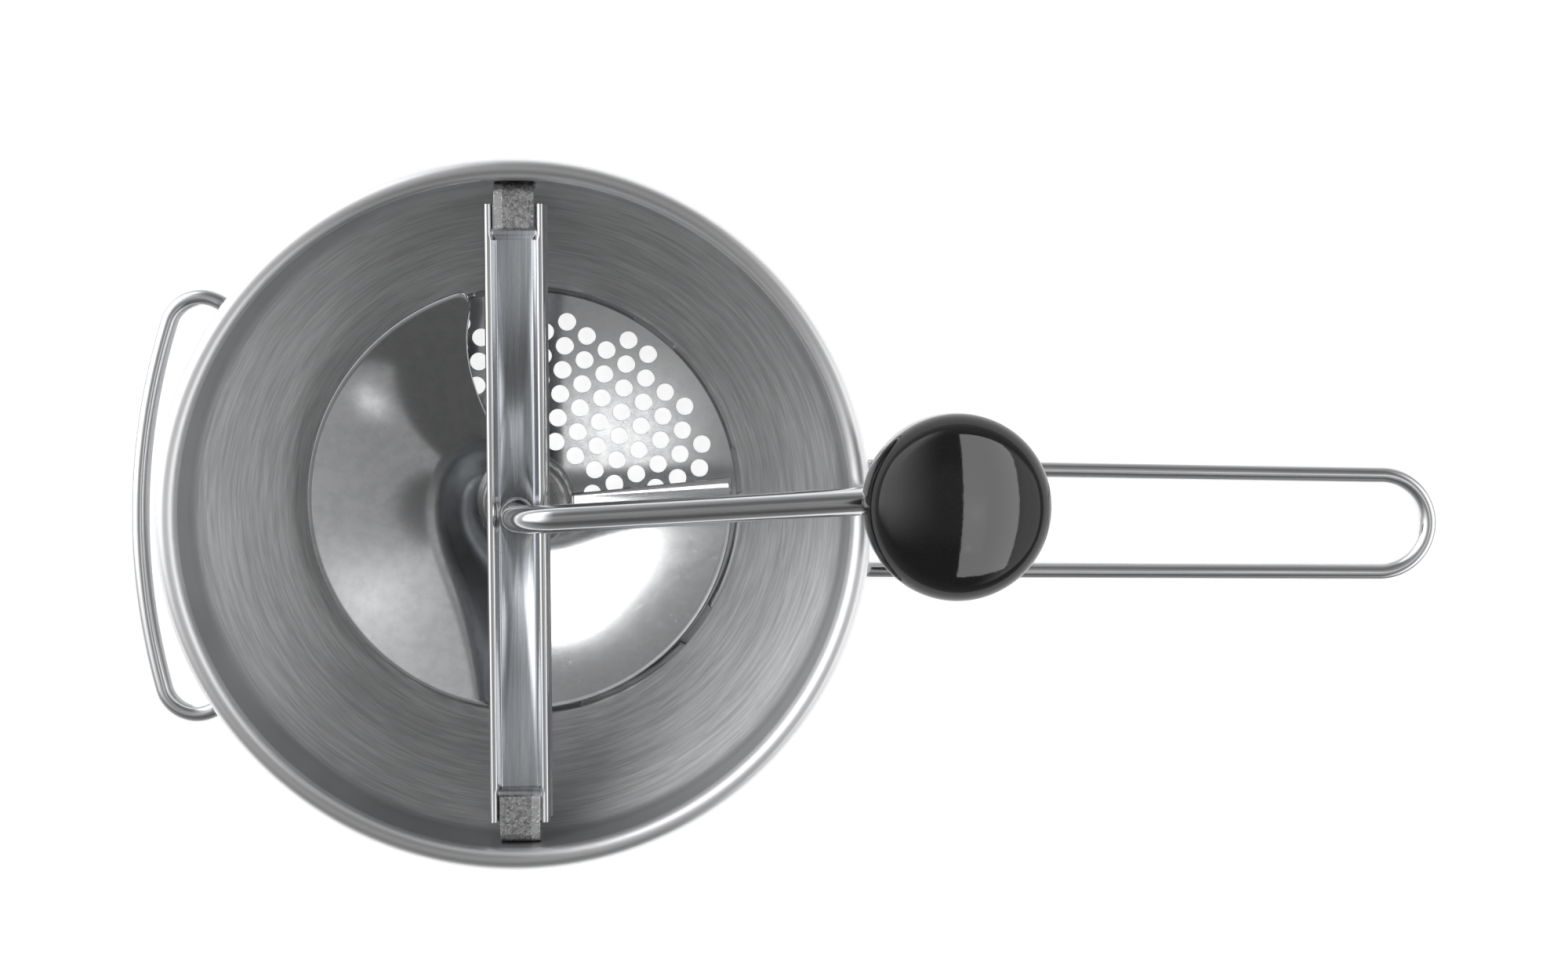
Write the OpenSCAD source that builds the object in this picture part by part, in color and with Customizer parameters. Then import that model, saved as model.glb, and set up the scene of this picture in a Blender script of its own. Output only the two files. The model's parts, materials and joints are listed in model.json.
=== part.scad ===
// Hand-cranked rotary food mill: a steel bowl with a sieve disc in its neck, a bent-sheet
// blade on a cranked rod, and a sprung crossbar that holds the rod under two catch lugs.
// Origin: on the bowl's axis, in the plane that the foot stands on. +X points along the
// handle, +Z up. All sizes are in millimetres.

/* [Bowl] */
// Outside diameter over the rolled rim
bowl_d = 206; // [170:1:250]
// Height of the rolled rim's centre above the foot
rim_h = 76; // [62:1:92]
// Thickness of the bowl's sheet
bowl_wall = 0.9; // [0.6:0.1:1.2]
// Thickness of the rim's roll
rim_roll_d = 6.2; // [5:0.2:8]
// Height of the straight band under the rim
band_h = 16; // [12:1:20]
// Inside radius of the bend from the band into the cone
shoulder_r = 20; // [10:1:24]
// Inside radius of the bend from the cone into the neck
throat_r = 6; // [3:1:10]
// Height of the straight neck above the step round the disc
neck_h = 4; // [2:1:8]
// Width of the step round the disc
step_w = 1.3; // [0.8:0.1:2]
// Height of that step above the ledge that the disc lies on
step_h = 3; // [2:0.5:5]
// Width of the ledge that the disc lies on
ledge_w = 3.5; // [2:0.5:5]
// Height of the turned-down foot under the ledge
foot_h = 5; // [3:0.5:8]

/* [Stamped pockets in the neck] */
// Number of pockets round the neck
pocket_count = 8; // [4:1:12]
// Angle that each pocket takes
pocket_angle = 12; // [6:1:20]
// Depth of a pocket into the neck's wall
pocket_depth = 2.1; // [1.5:0.1:3]
// Turn of the first pocket from +X
pocket_turn = 8.6; // [0:0.1:45]

/* [Sieve disc] */
// Diameter of the disc
disc_d = 131.2; // [108:0.2:158]
// Thickness of the disc
disc_t = 0.8; // [0.5:0.1:1.2]
// Diameter of a sieve hole
sieve_hole_d = 5.5; // [2:0.1:7]
// Distance between neighbouring sieve holes
sieve_pitch = 7.6; // [6.2:0.1:12]
// Plain margin between the disc's edge and the outer hole centres
sieve_margin = 5.6; // [5:0.1:12]
// Radius of the plain middle
plain_r = 19; // [14:0.5:26]
// Turn of the hole pattern
sieve_turn = 25; // [0:1:60]

/* [Catch lugs] */
// Reach of a lug from the bowl's wall
lug_reach = 13.5; // [11:0.5:16]
// Thickness of a lug
lug_t = 1.4; // [1:0.1:2]
// Outside radius of the lug's bend
lug_bend_r = 3; // [2:0.5:4]
// Diameter of a rivet
rivet_d = 2.5; // [2:0.1:3]
// Distance from a rivet's centre to the lug's side
rivet_edge = 2.65; // [2.2:0.05:3]

/* [Handle and rest bail] */
// Diameter of the wire
wire_d = 5.8; // [4.8:0.1:7]
// Depth of the wire's centre below the rim's centre
wire_drop = 9.5; // [7:0.5:12]
// Bend radius of the wire where it turns down the wall
wire_bend_r = 5; // [4:0.5:6]
// Length of the welded foot below that bend
wire_foot_h = 8; // [4:0.5:12]
// Depth of the weld, where wire and wall share metal
weld_depth = 0.3; // [0.1:0.1:0.5]
// Distance from the bowl's axis to the middle of the handle's round end
handle_reach = 269.4; // [200:0.2:330]
// Width between the handle's two wires at the round end
handle_end_w = 28.9; // [22:0.1:36]
// Spread of each wire towards the bowl
handle_spread = 0.3; // [0:0.1:3]
// Straight run of the bail's legs between corner and wall bend
bail_run = 0.4; // [0.3:0.1:30]
// Turn of the bail round the bowl
bail_turn = -0.9; // [-5:0.1:5]
// Radius of the bail's long arc
bail_arc_r = 192.5; // [150:0.5:240]
// Half the width over the bail's two corners
bail_half_w = 60.6; // [48:0.2:72]
// Bend radius of the bail's corners
bail_corner_r = 10; // [8:0.5:14]
// Slant of the bail's legs towards the middle
bail_leg_slant = 27; // [20:1:35]

/* [Crossbar] */
// Turn of the crossbar and its lugs from the Y axis
bar_turn = 1; // [0:0.1:20]
// Gap between the crossbar's ends and the bowl's wall
bar_gap = 6.6; // [6:0.2:9]
// Room inside the crossbar on each side of the spring's cup
bar_play = 0.2; // [0.1:0.1:3]
// Height from the lips to the top of the rails
bar_h = 10; // [8:0.5:13]
// Thickness of the crossbar's sheet
bar_t = 1.2; // [1:0.1:1.6]
// Thickness of the drawn collar round the rod
collar_t = 0.5; // [0.4:0.1:1]
// Depth of the rails' tops below the rim's centre
bar_drop = 5; // [4.5:0.5:9]
// Width of a rail's flat top
rail_w = 1; // [0.6:0.1:1.2]
// Depth of the web below the rails
web_drop = 2.6; // [2:0.1:4]
// Extra depth of the seats under the lugs
seat_drop = 0.6; // [0.4:0.1:1.5]
// Length of those seats
seat_l = 9.7; // [8:0.1:13]
// How far the side lips stand out
lip_flare = 0.8; // [0:0.1:1.2]

/* [Crank and knob] */
// Diameter of the crank's rod
rod_d = 8; // [6.6:0.1:9.6]
// Distance from the shaft to the knob's post
crank_len = 121.8; // [100:0.1:150]
// Height of the arm's centre above the rim's centre
arm_rise = 14; // [12:0.5:24]
// Bend radius between shaft and arm
crank_bend_r = 12; // [9:1:16]
// Bend radius between arm and post
post_bend_r = 10; // [9:1:14]
// Turn of the crank's arm from +X
crank_turn = 3.85; // [0:0.05:20]
// Diameter of the knob
knob_d = 50.6; // [40:0.2:62]
// Height of the knob
knob_h = 40; // [33:1:50]
// Diameter of the knob's neck
knob_neck_d = 21; // [18:0.5:26]
// Radius of curvature of the knob's dome
dome_r = 50; // [40:1:80]
// Diameter of the knob's core
core_d = 15; // [13.5:0.5:16]

/* [Blade] */
// Gap between the blade's low edge and the disc
blade_gap = 0.35; // [0.3:0.05:1]
// Thickness of the blade's sheet
blade_t = 1; // [0.6:0.1:1.4]
// Rise of the blade's leading edge above the disc
blade_rise = 28; // [22:0.5:34]
// Share of that rise at the hub
hub_rise_share = 0.3; // [0.2:0.05:0.35]
// How far the low corner stays inside the disc's edge
blade_low_inset = 1.3; // [1:0.1:3]
// How far the raised corner reaches past the disc's edge
blade_high_reach = 2.4; // [1:0.1:4]
// Angle of the leading edge near the hub
lead_angle = 115; // [100:1:130]
// direction of the blade's low edge, just past the crank arm (degrees)
low_angle = 6.5; // [0:0.5:10]
// Angle by which the leading edge swings back at the rim
lead_swing = 12.7; // [0:0.1:20]
// Radius of the raised corner
lead_corner_r = 6; // [3:0.5:10]
// Diameter of the hub
hub_d = 28; // [20:0.5:30]
// Height of the hub
hub_h = 14; // [12:0.5:18]
// Diameter of the cross pin through hub and rod
pin_d = 3; // [2:0.1:3.5]

/* [Spring] */
// Diameter of the spring's wire
spring_wire_d = 1.4; // [1:0.1:1.8]
// Number of open coils
spring_coils = 8; // [5:1:10]
// Thickness of the two spring cups
cup_t = 1; // [0.6:0.1:1.4]
// Thickness of the cups' rims
cup_rim_t = 0.5; // [0.3:0.1:1]
// Bevel round the cups' outer edges
cup_bevel = 0.5; // [0.3:0.05:0.55]

/* [Hidden] */
$fn = 72;
eps = 0.01;

steel = "lightsteelblue";
bright = "gainsboro";
dull = "slategray";
black = [0.07, 0.07, 0.08];

// Clearances
disc_clear = 0.4;      // disc edge to neck
bar_rod_clear = 0.4;   // rod in the crossbar's collar
tip_clear = 0.4;       // rod tip in the disc's centre hole
lug_clear = 0.3;       // crossbar's seat below the lug at rest
core_clear = 0.05;     // running fit of the knob's core on its post
fixed_clear = 0.02;    // pieces that are pinned or pressed together
washer_clear = 0.3;    // rubbing faces at rest
wall_clear = 0.4;      // lug's flange to the bowl's wall
lug_side_clear = 0.75; // lug's tongue to the crossbar's rails
collar_clear = 0.3;    // crossbar's collar to the spring
cup_clear = 0.1;       // spring to the cups' rims

// Bowl
mouth_r = bowl_d / 2 - rim_roll_d;
band_z = rim_h - band_h;
seat_r = disc_d / 2 + disc_clear;
neck_r = seat_r + step_w;
foot_r = seat_r - ledge_w;
step_z = foot_h + step_h;
neck_z = step_z + neck_h;
// The cone is the common tangent of the shoulder's arc and the throat's arc
shoulder_c = [mouth_r - shoulder_r, band_z];
throat_c = [neck_r + throat_r, neck_z];
arc_gap = shoulder_c - throat_c;
cone_angle = atan2(arc_gap.x, arc_gap.y) + asin((shoulder_r + throat_r) / norm(arc_gap));
disc_top = foot_h + disc_t;

// Rod, collar, spring, cup and crossbar fit one inside the other
rod_r = rod_d / 2;
bar_hole_r = rod_r + bar_rod_clear;
collar_r = bar_hole_r + collar_t;
spring_r = collar_r + collar_clear + spring_wire_d / 2;
cup_rim_r = spring_r + spring_wire_d / 2 + cup_clear;
cup_r = cup_rim_r + cup_rim_t;
bar_w = 2 * (cup_r + bar_play + bar_t);

// Crossbar and lugs
bar_top = rim_h - bar_drop;
bar_half_l = mouth_r - bar_gap;
seat_top = bar_h - web_drop - seat_drop;
slot_half_w = bar_w / 2 - 2 * rail_w;
web_half_w = slot_half_w - 1.4;
lug_w = 2 * (slot_half_w - lug_side_clear);
lug_z = bar_top - web_drop - seat_drop + lug_clear;
lug_low = band_z - 2;
lug_back = mouth_r - wall_clear;
lug_front_edge = mouth_r - lug_reach;
rivet_z = lug_low + rivet_d + 1;
rivet_spacing = lug_w - 2 * rivet_edge;
rivet_head_r = rivet_d * 0.85;
rivet_head_h = rivet_d * 0.42;

// Crank, blade and spring
arm_z = rim_h + arm_rise;
washer_t = 0.8;
hub_z = disc_top + washer_clear + washer_t;
hub_top = hub_z + hub_h;
hub_edge_r = 4;
tip_z = foot_h - 2;
tip_chamfer = 0.8;
pin_z = hub_z + 5;
collar_below = 3;
web_z = bar_top - web_drop;
spring_top = web_z - bar_t - cup_t;
spring_bottom = hub_top + cup_t;
end_coils = 1;

// Blade outline
blade_r_in = hub_d / 2 + fixed_clear;
blade_low_r = disc_d / 2 - blade_low_inset;
blade_high_r = disc_d / 2 + blade_high_reach;
lead_start_r = 28;
blade_steps = 72;
blade_rings = 10;

// Knob, measured up from its lower face
post_x = crank_len;
collar_z = arm_z + post_bend_r;
post_collar_t = 1;
knob_washer_t = 0.8;
knob_z = collar_z + post_collar_t + knob_washer_t + washer_clear;
knob_side_z = knob_h * 0.5;
knob_under_r = 12;
knob_corner_r = 4;
knob_edge_r = 9;
core_h = knob_h * 0.68;
post_top = knob_z + core_h + 4;
clip_t = 1;
groove_r = rod_r - 0.6;
clip_z = knob_z + core_h + washer_clear;

// Wires
wire_r = wire_d / 2;
wire_gap = 0.05;
wire_z = rim_h - wire_drop;
weld_r = mouth_r + bowl_wall + wire_r - weld_depth;

// Points along an arc, from angle a to angle b
function arc(c, r, a, b, n = 12) =
    [for (i = [0:n]) c + r * [cos(a + (b - a) * i / n), sin(a + (b - a) * i / n)]];

// A closed outline from its right half, listed from bottom to top
function both_sides(half) =
    concat(half, [for (i = [len(half) - 1:-1:0]) [-half[i].x, half[i].y]]);

// Distance from p along unit direction d to the circle of radius r round the axis
function reach_to_circle(p, d, r) = -p * d - sqrt(pow(p * d, 2) - p * p + r * r);

module ring(r_in, r_out, h, z) {
    translate([0, 0, z]) difference() {
        cylinder(r = r_out, h = h);
        translate([0, 0, -1]) cylinder(r = r_in, h = h + 2);
    }
}

module sector(r_in, r_out, z_low, z_high, angle) {
    rotate([0, 0, -angle / 2]) rotate_extrude(angle = angle)
        translate([r_in, z_low]) square([r_out - r_in, z_high - z_low]);
}

// One sheet from the foot up to the rim, which is rolled outwards and back to the wall
module bowl_sheet() {
    t = bowl_wall;
    roll_r = rim_roll_d / 2;
    roll_c = [mouth_r + roll_r, rim_h];
    roll_end = -122;
    outline = concat(
        arc(roll_c, roll_r, roll_end, 180, 30),
        arc(shoulder_c, shoulder_r, 0, -cone_angle),
        arc(throat_c, throat_r, 180 - cone_angle, 180, 6),
        [[neck_r, step_z], [seat_r, step_z], [seat_r, foot_h], [foot_r, foot_h], [foot_r, 0]],
        [[foot_r + t, 0], [foot_r + t, foot_h - t], [seat_r + t, foot_h - t],
         [seat_r + t, step_z - t], [neck_r + t, step_z - t]],
        arc(throat_c, throat_r - t, 180, 180 - cone_angle, 6),
        arc(shoulder_c, shoulder_r + t, -cone_angle, 0),
        arc(roll_c, roll_r - t, 180, roll_end, 30)
    );
    rotate_extrude() polygon(outline);
}

module pocket_places() {
    for (i = [0:pocket_count - 1])
        rotate([0, 0, pocket_turn + i * 360 / pocket_count]) children();
}

module along_bar(half_turns = 0) {
    rotate([0, 0, bar_turn + 180 * half_turns]) children();
}

module rivet_places() {
    for (side = [0, 1], x = [-rivet_spacing / 2, rivet_spacing / 2])
        along_bar(side) translate([x, 0, rivet_z]) rotate([-90, 0, 0]) children();
}

module bowl() {
    pocket_r = seat_r + pocket_depth;
    pocket_top = step_z + 0.7 * neck_h;
    margin = 2 * bowl_wall / seat_r * 180 / PI;
    color(steel) difference() {
        union() {
            bowl_sheet();
            pocket_places()
                sector(seat_r + bowl_wall / 2, pocket_r + bowl_wall, foot_h - bowl_wall,
                       pocket_top, pocket_angle + margin);
        }
        pocket_places()
            sector(seat_r - 1, pocket_r, foot_h, pocket_top - bowl_wall, pocket_angle);
        rivet_places() cylinder(d = rivet_d + 2 * fixed_clear, h = mouth_r + 10);
    }
}

// The lug on the +Y side: a flange on the wall and a tongue over the crossbar
module catch_lug() {
    top = lug_z + lug_t;
    outline = concat(
        [[lug_front_edge, lug_z], [lug_front_edge, top]],
        arc([lug_back - lug_bend_r, top - lug_bend_r], lug_bend_r, 90, 0, 6),
        [[lug_back, lug_low], [lug_back - lug_t, lug_low]],
        arc([lug_back - lug_bend_r, top - lug_bend_r], lug_bend_r - lug_t, 0, 90, 6)
    );
    difference() {
        translate([lug_w / 2, 0, 0]) rotate([90, 0, -90])
            mirror([1, 0, 0]) linear_extrude(lug_w) polygon(outline);
        for (x = [-rivet_spacing / 2, rivet_spacing / 2]) translate([x, 0, rivet_z])
            rotate([-90, 0, 0]) cylinder(d = rivet_d + 2 * fixed_clear, h = mouth_r + 10);
    }
}

module lug_rear() {
    color(dull) along_bar() catch_lug();
}

module lug_front() {
    color(dull) along_bar(1) catch_lug();
}

module lug_rivets() {
    inner = lug_back - lug_t;
    outer = mouth_r + bowl_wall;
    color(bright) rivet_places() {
        translate([0, 0, inner - rivet_head_h]) cylinder(r1 = rivet_head_r * 0.6,
            r2 = rivet_head_r, h = rivet_head_h);
        translate([0, 0, inner - eps]) cylinder(d = rivet_d, h = outer - inner + 2 * eps);
        translate([0, 0, outer]) cylinder(r1 = rivet_head_r, r2 = rivet_head_r * 0.6,
            h = rivet_head_h);
    }
}

// A straight stretch of wire along +X, and a bend in the XY plane round the origin. Both stop
// just short of their ends, where a slightly larger ball joins them to what comes next
module wire_run(l) {
    translate([wire_gap, 0, 0]) rotate([0, 90, 0]) cylinder(r = wire_r, h = l - 2 * wire_gap);
}

module wire_ball() {
    sphere(r = wire_r + 0.1);
}

module wire_bend(r, from, to) {
    short = wire_gap / r * 180 / PI;
    rotate([0, 0, from + short]) rotate_extrude(angle = to - from - 2 * short)
        translate([r, 0]) circle(r = wire_r);
    for (a = [from, to]) rotate([0, 0, a]) translate([r, 0, 0]) wire_ball();
}

// A wire that runs to the wall, bends down and ends in a foot welded to the wall
module welded_leg(start, angle) {
    run = reach_to_circle(start, [cos(angle), sin(angle)], weld_r) - wire_bend_r;
    translate([start.x, start.y, wire_z]) rotate([0, 0, angle]) {
        wire_run(run);
        translate([run, 0, -wire_bend_r]) rotate([90, 0, 0]) wire_bend(wire_bend_r, 0, 90);
        translate([run + wire_bend_r, 0, -wire_bend_r - wire_foot_h])
            cylinder(r = wire_r, h = wire_foot_h - wire_gap);
    }
}

module wire_arc(centre, r, from, to) {
    translate([centre.x, centre.y, wire_z]) wire_bend(r, from, to);
}

module handle() {
    end_r = handle_end_w / 2;
    centre = [handle_reach - end_r, 0];
    tangent = 90 - handle_spread;
    color(bright) {
        wire_arc(centre, end_r, -tangent, tangent);
        welded_leg(centre + end_r * [cos(tangent), sin(tangent)], 180 - handle_spread);
        welded_leg(centre + end_r * [cos(tangent), -sin(tangent)], 180 + handle_spread);
    }
}

module rest_bail() {
    leg_normal = 90 - bail_leg_slant;
    leg_dir = [cos(bail_leg_slant), -sin(bail_leg_slant)];
    corner_y = bail_half_w - bail_corner_r;
    leg_y = corner_y + bail_corner_r * sin(leg_normal);
    leg_l = bail_run + wire_bend_r;
    foot_y = leg_y + leg_l * leg_dir.y;
    leg_start = [-sqrt(pow(weld_r, 2) - pow(foot_y, 2)) - leg_l * leg_dir.x, leg_y];
    corner_c = leg_start - bail_corner_r * [cos(leg_normal), sin(leg_normal)];
    half_angle = asin(corner_y / (bail_arc_r - bail_corner_r));
    arc_c = [corner_c.x + (bail_arc_r - bail_corner_r) * cos(half_angle), 0];
    color(bright) rotate([0, 0, bail_turn]) {
        wire_arc(arc_c, bail_arc_r, 180 - half_angle, 180 + half_angle);
        for (side = [0, 1]) mirror([0, side, 0]) {
            wire_arc(corner_c, bail_corner_r, leg_normal, 180 - half_angle);
            welded_leg(leg_start, -bail_leg_slant);
        }
    }
}

module sieve_disc() {
    rows = ceil(disc_d / sieve_pitch);
    hole_limit = disc_d / 2 - sieve_margin;
    places = [
        for (i = [-rows:rows], j = [-rows:rows])
            let (p = sieve_pitch * [i + j / 2, j * sqrt(3) / 2])
            if (norm(p) >= plain_r && norm(p) <= hole_limit) p
    ];
    color(steel) translate([0, 0, foot_h]) difference() {
        cylinder(d = disc_d, h = disc_t);
        translate([0, 0, -1]) cylinder(r = rod_r + tip_clear, h = disc_t + 2);
        rotate([0, 0, sieve_turn]) for (p = places)
            translate([p.x, p.y, -1]) cylinder(d = sieve_hole_d, h = disc_t + 2, $fn = 24);
    }
}

// Cross-section of the crossbar, from its lips up to its rails
module bar_section(floor_z, floor_half_w) {
    w = bar_w / 2;
    round_r = rail_w;
    lip_z = 1.6;
    roof_r = 2 * cup_bevel;
    outline = concat(
        [[w + lip_flare, 0], [w, lip_z]],
        arc([w - round_r, bar_h - round_r], round_r, 0, 90, 5),
        [[slot_half_w, bar_h], [floor_half_w, floor_z]]
    );
    hollow = concat(
        [[w + lip_flare - bar_t, -1], [w + lip_flare - bar_t, 0], [w - bar_t, lip_z]],
        arc([w - bar_t - roof_r, floor_z - bar_t - roof_r], roof_r, 0, 90, 4)
    );
    difference() {
        polygon(both_sides(outline));
        polygon(both_sides(hollow));
    }
}

module crossbar() {
    web_half_l = bar_half_l - seat_l;
    bottom = bar_top - bar_h;
    color(steel) along_bar() difference() {
        union() {
            translate([0, web_half_l, bottom]) rotate([90, 0, 0])
                linear_extrude(2 * web_half_l) bar_section(bar_h - web_drop, web_half_w);
            for (y = [bar_half_l, -web_half_l]) translate([0, y, bottom]) rotate([90, 0, 0])
                linear_extrude(seat_l) bar_section(seat_top, slot_half_w);
            translate([0, 0, web_z - bar_t - collar_below])
                cylinder(r = collar_r, h = bar_t + collar_below + 0.6);
        }
        translate([0, 0, bottom - 1]) cylinder(r = bar_hole_r, h = bar_h + 2);
    }
}

// A washer with a low rim on top that keeps the spring's end in place
module spring_cup(r_in) {
    rotate_extrude() polygon([
        [r_in, 0], [cup_r - cup_bevel, 0], [cup_r, cup_bevel], [cup_r, 2 * cup_t],
        [cup_rim_r, 2 * cup_t], [cup_rim_r, cup_t], [r_in, cup_t]
    ]);
}

module spring_cup_upper() {
    color(bright) translate([0, 0, web_z - bar_t]) mirror([0, 0, 1])
        spring_cup(collar_r + fixed_clear);
}

module spring_cup_lower() {
    color(bright) translate([0, 0, hub_top]) spring_cup(rod_r + fixed_clear);
}

// The spring's wire, swept by its own formula: a closed coil at each end, open coils between
module spring() {
    sides = 8;
    per_coil = 18;
    turns = spring_coils + 2 * end_coils;
    count = turns * per_coil;
    wire = spring_wire_d / 2;
    low = spring_bottom + wire;
    high = spring_top - wire;
    lift = high - low - 2 * end_coils * spring_wire_d;
    function coil_z(u) =
        low + spring_wire_d * min(u, end_coils)
        + lift * min(max(u - end_coils, 0), spring_coils) / spring_coils
        + spring_wire_d * max(u - end_coils - spring_coils, 0);
    points = [
        for (i = [0:count], k = [0:sides - 1])
            let (
                a = 360 * i / per_coil,
                b = 360 * k / sides,
                r = spring_r + wire * cos(b)
            )
            [r * cos(a), r * sin(a), coil_z(i / per_coil) + wire * sin(b)]
    ];
    walls = [
        for (i = [0:count - 1], k = [0:sides - 1])
            let (k2 = (k + 1) % sides, a = i * sides, b = a + sides)
            each [[a + k, b + k, b + k2], [a + k, b + k2, a + k2]]
    ];
    ends = [
        [for (k = [0:sides - 1]) k],
        [for (k = [sides - 1:-1:0]) count * sides + k]
    ];
    color(bright) polyhedron(points, concat(walls, ends), convexity = 10);
}

module crank() {
    shaft_h = arm_z - crank_bend_r - tip_z;
    arm_l = crank_len - crank_bend_r - post_bend_r;
    color(bright) rotate([0, 0, crank_turn]) difference() {
        union() {
            translate([0, 0, tip_z]) cylinder(r1 = rod_r - tip_chamfer, r2 = rod_r, h = tip_chamfer);
            translate([0, 0, tip_z + tip_chamfer]) cylinder(r = rod_r, h = shaft_h - tip_chamfer);
            translate([crank_bend_r, 0, arm_z - crank_bend_r]) rotate([90, 0, 180])
                rotate_extrude(angle = 90) translate([crank_bend_r, 0]) circle(r = rod_r);
            translate([crank_bend_r, 0, arm_z]) rotate([0, 90, 0]) cylinder(r = rod_r, h = arm_l);
            translate([post_x - post_bend_r, 0, arm_z + post_bend_r]) rotate([-90, 0, 0])
                rotate_extrude(angle = 90) translate([post_bend_r, 0]) circle(r = rod_r);
            translate([post_x, 0, collar_z]) {
                cylinder(r = rod_r, h = post_top - collar_z);
                cylinder(r = rod_r + 2, h = post_collar_t);
            }
        }
        translate([0, 0, pin_z]) rotate([0, 90, 0])
            cylinder(d = pin_d + 2 * fixed_clear, h = 2 * rod_r + 2, center = true);
        translate([post_x, 0, 0])
            ring(groove_r, rod_r + 1, clip_t + 2 * fixed_clear, clip_z - fixed_clear);
    }
}

module thrust_washer() {
    color(bright) ring(rod_r + fixed_clear, hub_d / 2 - 3, washer_t, hub_z - washer_t);
}

module blade_hub() {
    r = hub_d / 2;
    outline = concat(
        [[rod_r + fixed_clear, 0], [r, 0]],
        arc([r - hub_edge_r, hub_h - hub_edge_r], hub_edge_r, 0, 90, 8),
        [[rod_r + fixed_clear, hub_h]]
    );
    color(bright) difference() {
        translate([0, 0, hub_z]) rotate_extrude() polygon(outline);
        rotate([0, 0, crank_turn]) translate([0, 0, pin_z]) rotate([0, 90, 0])
            cylinder(d = pin_d + 2 * fixed_clear, h = hub_d + 2, center = true);
    }
}

module drive_pin() {
    color(dull) rotate([0, 0, crank_turn]) translate([0, 0, pin_z]) rotate([0, 90, 0])
        cylinder(d = pin_d, h = hub_d - 1, center = true);
}

// Direction of the leading edge at radius r, and the blade's reach at u, from 0 at the low
// edge to 1 at the leading edge
function lead_dir(r) =
    lead_angle - lead_swing * pow(max(r - lead_start_r, 0) / (blade_high_r - lead_start_r), 2);
function corner_cut(a) =
    a >= lead_corner_r ? 0 : lead_corner_r - sqrt(pow(lead_corner_r, 2) - pow(lead_corner_r - a, 2));
function blade_reach(u) =
    let (r = blade_low_r + (blade_high_r - blade_low_r) * u)
    r - corner_cut((1 - u) * (360 + low_angle - lead_angle) * PI / 180 * r);
// Steps are closer together near the leading edge, where the corner is rounded
function blade_u(i) = 1 - pow(1 - i / blade_steps, 1.6);

// A helicoid sheet: it starts on the disc along +X and climbs clockwise to its leading edge
module blade() {
    low = disc_top + blade_gap;
    cols = blade_rings + 1;
    function skin(i, j) =
        let (
            u = blade_u(i),
            r = blade_r_in + (blade_reach(u) - blade_r_in) * j / blade_rings,
            a = 360 + low_angle - u * (360 + low_angle - lead_dir(r)),
            share = hub_rise_share
                + (1 - hub_rise_share) * (r - blade_r_in) / (blade_high_r - blade_r_in)
        )
        [r * cos(a), r * sin(a), low + blade_rise * pow(u, 1.15) * share];
    under = [for (i = [0:blade_steps], j = [0:blade_rings]) skin(i, j)];
    over = [for (p = under) p + [0, 0, blade_t]];
    n = len(under);
    last = blade_steps * cols;
    function quad(a, b, c, d) = [[a, b, c], [a, c, d]];
    faces = [
        for (i = [0:blade_steps - 1], j = [0:blade_rings - 1])
            let (a = i * cols + j, b = a + 1, c = b + cols, d = a + cols)
            each concat(quad(a, b, c, d), quad(n + d, n + c, n + b, n + a))
    ];
    rims = [
        for (i = [0:blade_steps - 1])
            let (a = i * cols, d = a + cols, b = a + blade_rings, c = b + cols)
            each concat(quad(a, d, n + d, n + a), quad(c, b, n + b, n + c))
    ];
    tips = [
        for (j = [0:blade_rings - 1])
            each concat(quad(j + 1, j, n + j, n + j + 1),
                        quad(last + j, last + j + 1, n + last + j + 1, n + last + j))
    ];
    color(steel) polyhedron(concat(under, over), concat(faces, rims, tips), convexity = 8);
}

module at_post() {
    rotate([0, 0, crank_turn]) translate([post_x, 0, 0]) children();
}

module knob_washer() {
    color(bright) at_post()
        ring(rod_r + fixed_clear, knob_neck_d / 2 - 2, knob_washer_t, collar_z + post_collar_t);
}

module knob_core() {
    color(dull) at_post() ring(rod_r + core_clear, core_d / 2, core_h, knob_z);
}

module knob() {
    r = knob_d / 2;
    neck = knob_neck_d / 2;
    under_z = knob_side_z - knob_corner_r;
    under_r = min(knob_under_r, r - knob_corner_r - neck);
    dome_c = [0, knob_h - dome_r];
    edge_c = [r - knob_edge_r, dome_c.y + sqrt(pow(dome_r - knob_edge_r, 2) - pow(r - knob_edge_r, 2))];
    edge_angle = atan2(edge_c.y - dome_c.y, edge_c.x);
    outline = concat(
        [[0, 0], [neck, 0]],
        arc([neck + under_r, under_z - under_r], under_r, 180, 90, 8),
        arc([r - knob_corner_r, knob_side_z], knob_corner_r, -90, 0, 6),
        arc(edge_c, knob_edge_r, 0, edge_angle, 8),
        arc(dome_c, dome_r, edge_angle, 90, 8)
    );
    color(black) at_post() translate([0, 0, knob_z]) difference() {
        rotate_extrude() polygon(outline);
        translate([0, 0, -1]) cylinder(d = core_d + 2 * fixed_clear, h = core_h + 1 + 5);
    }
}

// A snap ring that sits in the post's groove above the core
module post_clip() {
    gap_w = 2.4;
    color(dull) at_post() difference() {
        ring(groove_r + fixed_clear, rod_r + 2, clip_t, clip_z);
        translate([0, -gap_w / 2, clip_z - 1]) cube([rod_r + 4, gap_w, clip_t + 2]);
    }
}

bowl();
lug_rear();
lug_front();
lug_rivets();
handle();
rest_bail();
sieve_disc();
crossbar();
spring_cup_upper();
spring();
spring_cup_lower();
crank();
thrust_washer();
blade_hub();
drive_pin();
blade();
knob_washer();
knob_core();
knob();
post_clip();
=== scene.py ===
import json
import math

import bmesh
import bpy
from mathutils import Euler, Matrix, Vector

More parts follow.
